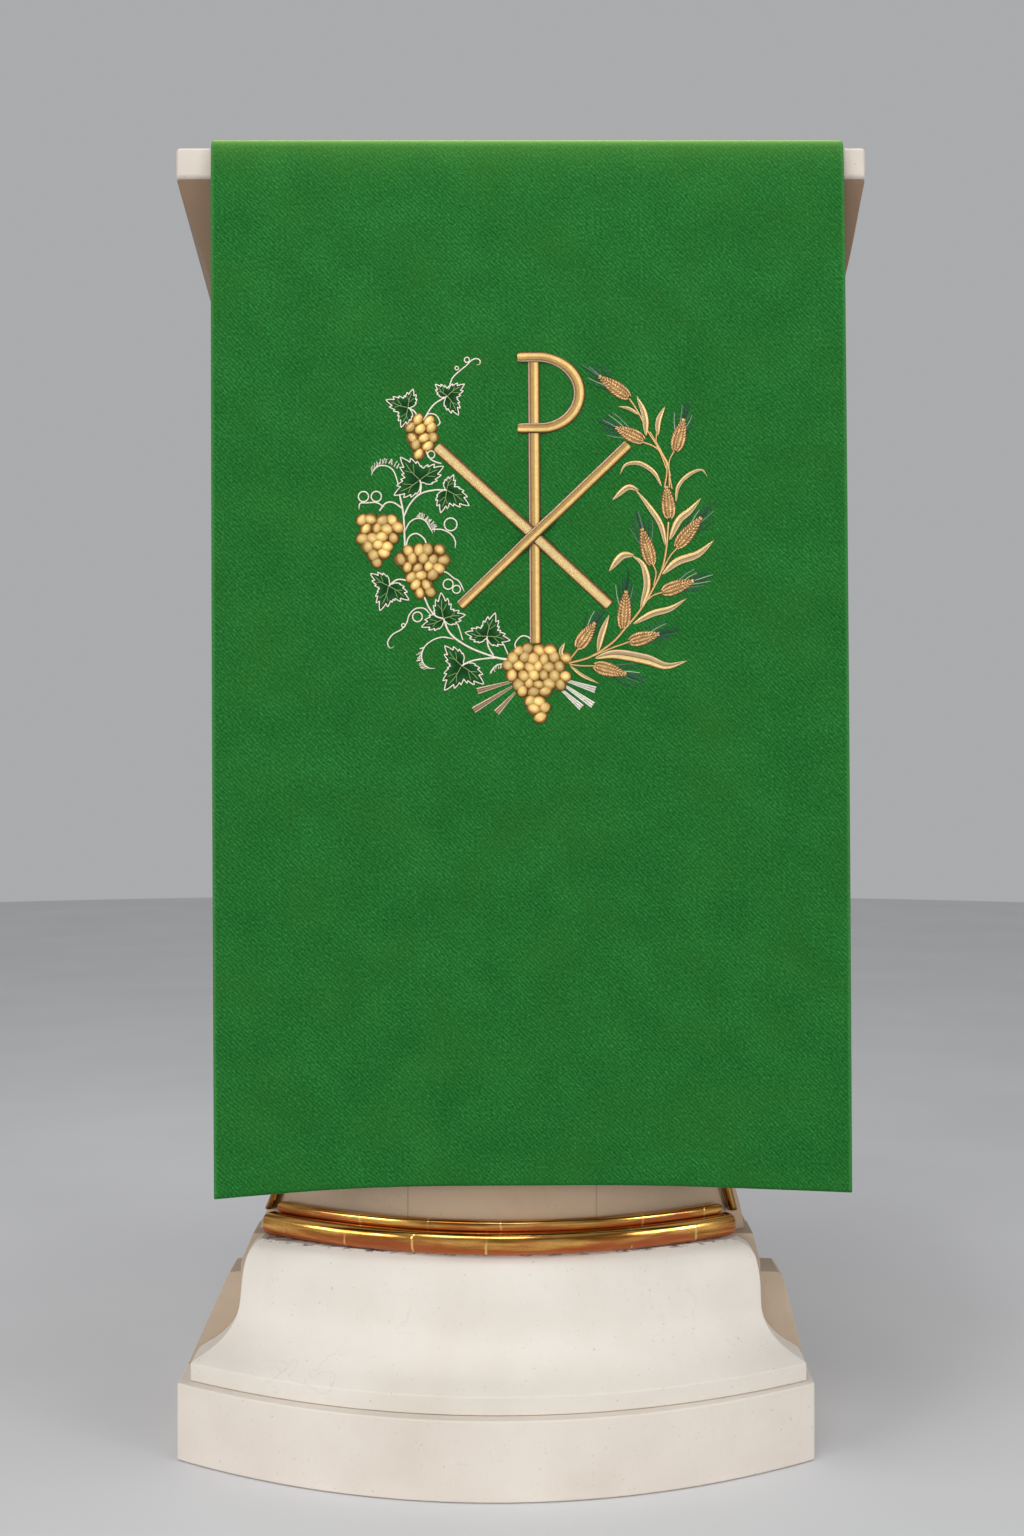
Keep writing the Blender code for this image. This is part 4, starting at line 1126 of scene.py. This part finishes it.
def leaf_fill(leaf, around=180, rings=6):
    """A low mound: rings from the outline to the middle, padding * (1.15 - share^6) high."""
    angle = np.linspace(0, 2 * np.pi, around, endpoint=False)
    share = np.linspace(1.0, 0.02, rings)[:, None]
    share = np.concatenate([share[:1], share])
    reach = leaf_radius(angle, leaf["lobes"]) * share[..., None] * FILL_SHARE
    plan = np.array([leaf["a"], leaf["b"]]) / 1000 + reach
    height = FILL_HEIGHT * (1.15 - share**6) * np.ones((1, around))
    height[0] = UNDER
    points = on_cloth(plan[..., 0], plan[..., 1], height)
    return ringed(points, lay=plan, side=np.repeat(share * 2 - 1, around), tone=np.full(height.size, 0.5))


def leaf_outline(leaf):
    """A cord round the outline, from one point back to the same point."""
    reach = leaf_radius(np.linspace(0, 2 * np.pi, 300), leaf["lobes"])
    return stroke(np.array([leaf["a"], leaf["b"]]) / 1000 + reach, **OUTLINE, tone=0.6)


def leaf_veins(leaf):
    """One vein down the middle of each lobe, with a side vein to either hand."""
    middle = np.array([leaf["a"], leaf["b"]], float)
    veins = []
    for length, points in leaf["lobes"]:
        way = direction(np.radians(points))
        bow = np.array([-way[1], way[0]]) * VEIN["bow"]
        bent = middle + way * length * VEIN["bow_at"] + bow
        path = curve([middle, bent, middle + way * length * VEIN["long"]])
        veins.append(stroke(path, tapered(len(path), VEIN["width"]), VEIN["height"], lift=OVERLAP))
        for lean in (-1, 1):
            start = middle + way * length * SIDE_VEIN["start"]
            turn = np.radians(points + lean * SIDE_VEIN["turn"])
            side = curve([start, start + length * SIDE_VEIN["long"] * direction(turn)])
            width = tapered(len(side), SIDE_VEIN["width"])
            veins.append(stroke(side, width, SIDE_VEIN["height"], lift=OVERLAP))
    return veins


put_mesh("vine_leaf_fill", joined([leaf_fill(leaf) for leaf in LEAVES]), LEAF_GREEN,
         numbered("vine_leaf", LEAVES))
put_mesh("vine_leaf_outline", joined([leaf_outline(leaf) for leaf in LEAVES]), SILVER_CORD)
put_mesh("vine_leaf_vein", joined(sum([leaf_veins(leaf) for leaf in LEAVES], [])), LEAF_VEIN)

# %% Vine stems and tendrils
VINE_STEMS = table(
    "width through",
    (1.6, ((-106, 36), (-103, 19), (-102, -8))),
    (1.5, ((-103, 18), (-98, 28), (-90, 36), (-79, 39), (-69, 39))),
    (1.4, ((-90, 36), (-89, 42), (-90, 47))),
    (1.4, ((-104, 25), (-111, 29.5), (-117, 29), (-122, 23))),
    (1.4, ((-99, 104), (-94, 101), (-90, 94))),
    (1.4, ((-68, 113), (-79, 106), (-87, 94))),
    (1.3, ((-86, 72), (-82, 64), (-77, 61), (-73, 60))),
    (1.4, ((-102, -8), (-99, 2), (-93, 5), (-87, 1), (-85, -4))),
    (1.4, ((-115, -36), (-108, -31), (-99, -32))),
    (1.5, ((-87, -45), (-83, -54), (-78, -60), (-72, -62))),
    (1.7, ((-72, -62), (-68, -72), (-61, -79), (-49, -86), (-33, -92), (-21, -95))),
    (1.5, ((-58, -99), (-49, -95), (-33, -93), (-22, -94))),
    (1.4, ((-38, -76), (-37, -84), (-33, -91))),
    (1.1, ((-61, -66), (-59, -72), (-57, -79))),
)
TENDRILS = table(
    "width through",
    (1.2, ((-67, 118), (-64, 127), (-58, 133), (-53, 137), (-49, 141), (-45, 142.5), (-42.3, 141),
           (-42.5, 138), (-45, 137.6))),
    (1.2, ((-107, 43), (-108.5, 49), (-111.5, 55.5), (-117, 58.5), (-123, 58), (-127, 54), (-128, 51))),
    (1.2, ((-118, 26), (-124, 29.5), (-131, 29.5), (-137, 29), (-138, 24))),
    (1.2, ((-102, 7), (-98, 14), (-92, 17), (-86, 15), (-82, 9), (-80, 5))),
    (1.2, ((-82, 8), (-73, 8), (-66, 4.5), (-62.5, -1), (-62.5, -7))),
    (1.2, ((-77, -25.5), (-70, -25.5), (-64, -30), (-59.5, -33), (-55.5, -41))),
    (1.2, ((-82, -59), (-87, -54), (-94, -54), (-99, -59), (-101, -65), (-105, -70), (-112, -74),
           (-116, -80), (-114.5, -84.5), (-111, -83.5))),
    (1.2, ((-64, -78), (-73, -76.5), (-81, -79), (-87, -84), (-89.5, -91), (-88, -97), (-84, -100.5),
           (-79, -101))),
    (1.2, ((-14, -89), (-16, -82), (-11, -76), (-5, -77), (-2, -82))),
    (1.1, ((-24, -97.5), (-30, -98.5), (-34, -102), (-36, -105.5))),
    (1.1, ((-21, -91), (-23, -87), (-25, -82))),
    (1.2, ((-86, 95), (-83, 99), (-77, 98), (-74, 92), (-77, 89))),
)
HAIR = dict(width=0.0006, height=0.0005)
HAIR_SCATTER = 28
KNOT = dict(width=0.0010, half_long=0.4)
LOOP_WIDTH = dict(least=0.0010, per_radius=0.00005)
LOOPS = table(
    "a b radius",
    (-52.5, 141.5, 2.0), (-60.5, 135, 1.4), (-134.4, 34.4, 4.0), (-124.3, 34.4, 4.0), (-66, 12, 5.0),
    (-68.2, -35, 3.9), (-61.7, -39, 3.1), (-92.5, -60.4, 3.8), (-103.6, -67, 1.4), (-81, 67, 2.9),
)
HAIRY = table(
    "through hairs long turn",
    (((-108, 56), (-114, 60), (-121, 59.5), (-128, 54)), 20, 4.6, 78),
    (((-93, 18), (-87, 16), (-83, 12), (-79, 6)), 24, 4.4, 55),
    (((-87, -84), (-90, -91), (-88, -97), (-84, -100.5)), 18, 4.2, 205),
    (((-26, -98), (-30, -99), (-34, -102.5)), 9, 2.6, 260),
)


def ring_path(loop):
    """A little circle that runs just past its own start."""
    turn = np.linspace(0, 2 * np.pi * 1.03, 26)
    return (np.array([loop["a"], loop["b"]]) + loop["radius"] * direction(turn)) / 1000


def hairs(row):
    """Short hairs with a knot at each tip, set along a path at one angle."""
    path = curve(row["through"])
    random = np.random.default_rng(row["hairs"])
    parts = []
    for start in path[np.linspace(0, len(path) - 1, row["hairs"]).astype(int)] * 1000:
        angle = np.radians(row["turn"] + random.uniform(-HAIR_SCATTER, HAIR_SCATTER))
        tip = start + row["long"] * random.uniform(0.7, 1.0) * direction(angle)
        parts.append(stroke(curve([start, tip]), **HAIR, tone=0.3))
        reach = [KNOT["half_long"], 0.0]
        knot = curve([tip - reach, tip + reach], 0.2)
        parts.append(stroke(knot, tapered(len(knot), KNOT["width"]), THIN_CORD_HEIGHT, tone=0.3))
    return parts


cords = [stroke(curve(row["through"]), row["width"] / 1000, CORD_HEIGHT) for row in VINE_STEMS]
for row in TENDRILS:
    path = curve(row["through"], 0.5)
    cords.append(stroke(path, tapered(len(path), row["width"] / 1000), THIN_CORD_HEIGHT))
for loop in LOOPS:
    width = LOOP_WIDTH["least"] + LOOP_WIDTH["per_radius"] * loop["radius"]
    cords.append(stroke(ring_path(loop), width, THIN_CORD_HEIGHT))
cords += sum([hairs(row) for row in HAIRY], [])
put_mesh("vine_cords", joined(cords), SILVER_CORD)

# %% [markdown]
# Grapes are small padded ovals, packed so closely that each presses on the next. One dome is worked
# out on a grid and then placed for every berry, with its own size, turn and tone.

# %% Grapes
BERRY_RADIUS = 0.0044
BERRY_PITCH = dict(across=1.85, down=1.50)
BUNCHES = table(
    "a b lean rows",
    (-88, 81, -1.6, (2, 3, 3, 2, 1)),
    (-123, -1, 0.2, (4, 4, 4, 3, 2, 1)),
    (-88, -25, -0.4, (4, 5, 4, 3, 2, 2)),
    (1, -113, 0.0, (4, 6, 6, 6, 5, 3, 2, 2, 1)),
)


def berry_places(rows, lean):
    """Rows of berries a little closer than their width, each row half a berry aside from the last."""
    pitch = BERRY_PITCH["across"] * BERRY_RADIUS
    drop = BERRY_PITCH["down"] * BERRY_RADIUS
    middle = (len(rows) - 1) / 2
    places = []
    for row, count in enumerate(rows):
        aside = (row - middle) * lean / 1000
        half_step = ((count + row) % 2 - 0.5) * pitch / 2
        for column in range(count):
            places.append(((column - (count - 1) / 2) * pitch + aside + half_step, (middle - row) * drop))
    places = np.array(places)
    return places - [places[:, 0].mean() - lean / 8000, 0.0]


def domes(centres, half_long, half_wide, turns, heights, tones, around=16, rings=5):
    """Low ovals: share r of the radius in rings, height = padding * sqrt(1 - r^2), turned and placed."""
    half_long, half_wide, turns, heights = (
        np.reshape(values, (-1, 1, 1)) for values in (half_long, half_wide, turns, heights))
    angle = np.linspace(0, 2 * np.pi, around, endpoint=False)
    climb = np.linspace(0.12, np.pi / 2 - 0.05, rings)
    share = np.concatenate([[1.0], np.cos(climb)])[:, None]
    rise = np.concatenate([[0.0], np.sin(climb)])[:, None]
    x = share * np.cos(angle) * half_long
    y = share * np.sin(angle) * half_wide
    a = centres[:, 0, None, None] + x * np.cos(turns) - y * np.sin(turns)
    b = centres[:, 1, None, None] + x * np.sin(turns) + y * np.cos(turns)
    height = rise * heights * np.ones_like(x)
    height[:, 0] = UNDER
    size = share.size * around
    starts = (np.arange(len(centres)) * size)[:, None, None]
    sides, first, last = skin(share.size, around)
    return dict(
        points=on_cloth(a, b, height).reshape(-1, 3),
        faces=[(rows + starts).reshape(-1, rows.shape[1]) for rows in (sides, np.concatenate([first, last]))],
        lay=np.stack([x, y], axis=-1).reshape(-1, 2) + np.repeat(centres * 7.0, size, axis=0),
        side=np.broadcast_to(share * 2 - 1, x.shape).reshape(-1),
        tone=np.repeat(tones, size),
    )


def bunch(row, number):
    """The berries of a bunch, each a little different, and the lower padding between them in painted shade.
    """
    random = np.random.default_rng(40 + number)
    places = berry_places(row["rows"], row["lean"])
    count = len(places)
    places = places + random.uniform(-0.0011, 0.0011, (count, 2)) + np.array([row["a"], row["b"]]) / 1000
    size = BERRY_RADIUS * random.uniform(1.08, 1.36, count)
    turns = random.uniform(0, np.pi, count)
    berries = domes(
        places, size, size * random.uniform(0.70, 0.92, count), turns,
        STITCH * random.uniform(1.6, 2.9, count), random.uniform(0, 1, count))
    low = np.full(count, STITCH * 0.8)
    backing = domes(places, size * 1.04, size * 0.98, turns, low, np.zeros(count), rings=3)
    return berries, backing


berries, backings = zip(*[bunch(row, number) for number, row in enumerate(BUNCHES)])
put_mesh("grape_berries", joined(berries), GRAPE_GOLD, numbered("grape_bunch", BUNCHES))
# The backing's dark brown in the gaps between berries is painted shade.
put_mesh("grape_backing", joined(backings), GRAPE_SHADE)

# %% [markdown]
# Wheat grows up the right side. An ear is a pointed oval of padding with many small grains over it in
# a herringbone, and a spray of fine bristles at its tip. The blades are long strokes that swell and
# taper, lighter on one half than on the other.

# %% Wheat ears
EARS = table(
    "a b long points bristled",
    (75, 112, 30, 145, True),
    (86, 78, 25, 155, True),
    (111, 70, 27, 75, True),
    (106, 17, 26, 95, False),
    (92, -20, 31, 105, True),
    (111, -6, 32, 50, True),
    (100, -41, 27, 20, True),
    (69, -70, 31, 85, True),
    (33, -85, 25, 55, True),
    (74, -80, 25, 15, True),
    (46, -99, 27, -15, True),
)
EAR_WIDTH = 0.011
GRAIN = dict(rows=13, across=4, long=0.0021, wide=0.00105, lean=np.radians(28))
BRISTLE = dict(count=9, lowest=0.42, fan=0.30, long=0.0165, bow=0.0006, thick=0.0009, thin=0.0005,
               height=0.0005)
PADDING = dict(height=STITCH * 0.8, rim=0.0006)


def ear_axis(ear):
    """An ear's foot, the way it points, the way across it, its length and its turn."""
    turn = np.radians(ear["points"])
    way = direction(turn)
    return np.array([ear["a"], ear["b"]]) / 1000, way, np.array([-way[1], way[0]]), ear["long"] / 1000, turn


def ear_half(t):
    """Half width along an ear: quick to its fullest past a third, then long and slow to the tip."""
    return EAR_WIDTH / 2 * np.sin(np.pi * np.clip(t, 0, 1) ** 0.72) ** 0.80


def ear_body(ear):
    """The padding under the grains."""
    foot, way, _, length, _ = ear_axis(ear)
    t = np.linspace(0, 1, 26)
    return stroke(foot + way * (t * length)[:, None], 2 * ear_half(t) + PADDING["rim"], PADDING["height"])


def ear_grains(ear, number):
    """Rows of grains over an ear, leaning outwards, highest along its middle."""
    random = np.random.default_rng(70 + number)
    foot, way, side, length, turn = ear_axis(ear)
    t = np.repeat(np.linspace(0.06, 0.94, GRAIN["rows"]), GRAIN["across"])
    place = np.tile(np.linspace(-0.78, 0.78, GRAIN["across"]), GRAIN["rows"])
    across = place * ear_half(t)
    along = t * length - np.abs(across) * 0.55 + random.uniform(-0.0002, 0.0002, t.size)
    centres = foot + way * along[:, None] + side * across[:, None]
    turns = turn + np.sign(place) * GRAIN["lean"] + random.uniform(-0.12, 0.12, t.size)
    height = STITCH * (1.75 - 0.60 * place**2) * random.uniform(0.85, 1.15, t.size)
    scale = np.clip(ear_half(t) / (EAR_WIDTH / 2), 0.45, 1)
    return domes(
        centres, GRAIN["long"] * (0.6 + 0.4 * scale), GRAIN["wide"] * (0.5 + 0.5 * scale), turns, height,
        random.uniform(0, 1, t.size), around=7, rings=3)


def ear_bristles(ear, number):
    """Fine bristles fanned from the upper half of the ear, each a thin tapering stroke."""
    random = np.random.default_rng(90 + number)
    foot, way, side, length, turn = ear_axis(ear)
    parts = []
    for place in np.linspace(-1, 1, BRISTLE["count"]):
        t = 1.0 - BRISTLE["lowest"] * abs(place)
        start = foot + way * t * length + side * place * ear_half(t) * 0.9
        lean = turn + place * BRISTLE["fan"] + random.uniform(-0.05, 0.05)
        end = start + BRISTLE["long"] * random.uniform(0.75, 1.1) * direction(lean)
        bend = (start + end) / 2 + side * BRISTLE["bow"] * place
        path = curve(np.array([start, bend, end]) * 1000, 1.0)
        width = np.linspace(BRISTLE["thick"], BRISTLE["thin"], len(path))
        parts.append(stroke(path, width, BRISTLE["height"], tone=random.uniform(0, 1) ** 1.6))
    return parts


grains = joined([ear_grains(ear, n) for n, ear in enumerate(EARS)])
put_mesh("wheat_ears", grains, COPPER_EAR, numbered("wheat_ear", EARS))
put_mesh("wheat_ear_backing", joined([ear_body(ear) for ear in EARS]), EAR_SHADE)
bristles = sum([ear_bristles(ear, n) for n, ear in enumerate(EARS) if ear["bristled"]], [])
put_mesh("wheat_bristles", joined(bristles), AWN_THREAD)

# %% Wheat blades and stems
BLADES = table(
    "width flip through",
    (5.4, 1.0, ((88, 82), (87, 98), (81, 113))),
    (2.8, 1.0, ((83, 98), (75, 103), (66, 105))),
    (4.6, 1.0, ((97, 82), (98, 94), (103, 105))),
    (3.8, 1.0, ((100, 42), (94, 53), (83, 60), (72, 59), (67, 51))),
    (3.4, -1.0, ((111, 30), (113, 42), (121, 51), (131, 55), (136, 50))),
    (4.8, 1.0, ((103, -5), (99, 12), (90, 26), (79, 40))),
    (4.8, 1.0, ((82, 39), (73, 41), (61, 31))),
    (6.0, -1.0, ((106, 0), (113, 15), (122, 23), (131, 33))),
    (6.6, -1.0, ((100, -27), (112, -17), (128, -11), (141, 0))),
    (6.0, 1.0, ((83, -54), (88, -36), (85, -20), (76, -12))),
    (6.0, 1.0, ((78, -12), (68, -13), (58, -25))),
    (5.4, -1.0, ((77, -66), (92, -58), (106, -54), (119, -46))),
    (5.4, 1.0, ((49, -88), (52, -75), (58, -59))),
    (8.4, 1.0, ((47, -93), (63, -90), (87, -94), (103, -99), (119, -95))),
    (2.8, 1.0, ((27, -99), (37, -107), (50, -113))),
    (3.8, 1.0, ((22, -93), (20, -88), (23, -81))),
)
WHEAT_STEMS = table(
    "width through",
    (2.2, ((26, -97), (43, -92), (60, -81), (71, -69), (81, -57), (90, -43), (99, -25), (103, -8),
           (105, 14))),
    (1.7, ((27, -94), (34, -85))),
    (1.7, ((27, -98), (36, -99), (47, -99))),
    (1.7, ((41, -93), (60, -85), (74, -80))),
    (1.7, ((85, -50), (92, -44), (100, -41))),
    (1.6, ((93, -36), (95, -26), (92, -18))),
    (1.7, ((100, -24), (106, -13), (112, -6))),
    (1.8, ((102, 41), (104, 53), (103, 62), (96, 72), (85, 77))),
    (1.8, ((106, 41), (105, 59), (97, 73), (89, 86), (82, 100), (75, 111))),
    (1.6, ((108, 40), (106, 52), (106, 62), (110, 70))),
    (1.5, ((104, 55), (100, 66), (96, 75), (96, 83))),
    (1.4, ((107, 50), (104, 61), (98, 73), (91, 85))),
)
BLADE_HEIGHT = 0.0010
BAND = dict(narrow=0.0014, widening=0.0040, height=0.0006)
RIBBONS = table(
    "start end tone",
    ((-17, -111), (-46, -119), 0.5), ((-16, -114), (-49, -134), 0.4), ((-16, -120), (-31, -136), 0.6),
)
RIBBONS_SILVER = table(
    "start end tone",
    ((19, -109), (47, -118), 0.5), ((19, -112), (45, -130), 0.7), ((18, -116), (36, -132), 0.6),
)


def blade(row):
    """A stroke that swells to its fullest before the middle and ends in a point."""
    path = curve(row["through"])
    t = np.linspace(0, 1, len(path))
    width = row["width"] / 1000 * np.clip(np.sin(np.pi * t**0.85) ** 0.8 + 0.10 * (1 - t), 0.05, 1)
    return stroke(path, width, BLADE_HEIGHT, PADDED, lift=OVERLAP, flip=row["flip"])


def ribbon_end(row):
    """A flat band that widens towards its cut end."""
    path = curve([row["start"], row["end"]])
    width = BAND["narrow"] + BAND["widening"] * np.linspace(0, 1, len(path))
    return stroke(path, width, BAND["height"], PADDED, tone=row["tone"])


stems = [stroke(curve(row["through"]), row["width"] / 1000, CORD_HEIGHT) for row in WHEAT_STEMS]
put_mesh("wheat_blades", joined([blade(row) for row in BLADES]), BLADE_GOLD)
put_mesh("wheat_stems", joined(stems), STEM_GOLD)
for name, rows, finish in (
        ("ribbon_ends", RIBBONS, RIBBON), ("ribbon_ends_silver", RIBBONS_SILVER, RIBBON_SILVER)):
    put_mesh(name, joined([ribbon_end(row) for row in rows]), finish)

# %% [markdown]
# The cover is one length of cloth laid over the desk, cut to CLOTH_WIDTH by CLOTH_LENGTH. The
# stitching goes with it.

# %% [markdown]
# A plain pale floor carries the lectern. It is part of the stage, not of the object.

# %% Floor
FLOOR_RADIUS = 6.0
FLOOR_Z = -0.0005
floor_material, tree, shader = new_material("floor_pale", Roughness=0.75)
floor_noise = noise(add(tree, "TexCoord", out="Object"), 3.0)
floor_colour = ramp(floor_noise, (0.3, 0.66, 0.66, 0.67), (0.7, 0.70, 0.70, 0.71))
tree.links.new(floor_colour.socket, shader.inputs["Base Color"])
rim = FLOOR_RADIUS * direction(np.linspace(0, 2 * np.pi, 64, endpoint=False))
floor_mesh = bpy.data.meshes.new("floor")
floor_mesh.from_pydata([(x, y, FLOOR_Z) for x, y in rim], [], [list(range(len(rim)))])
floor_mesh.materials.append(floor_material)
floor = bpy.data.objects.new("floor", floor_mesh)
bpy.context.scene.collection.objects.link(floor)
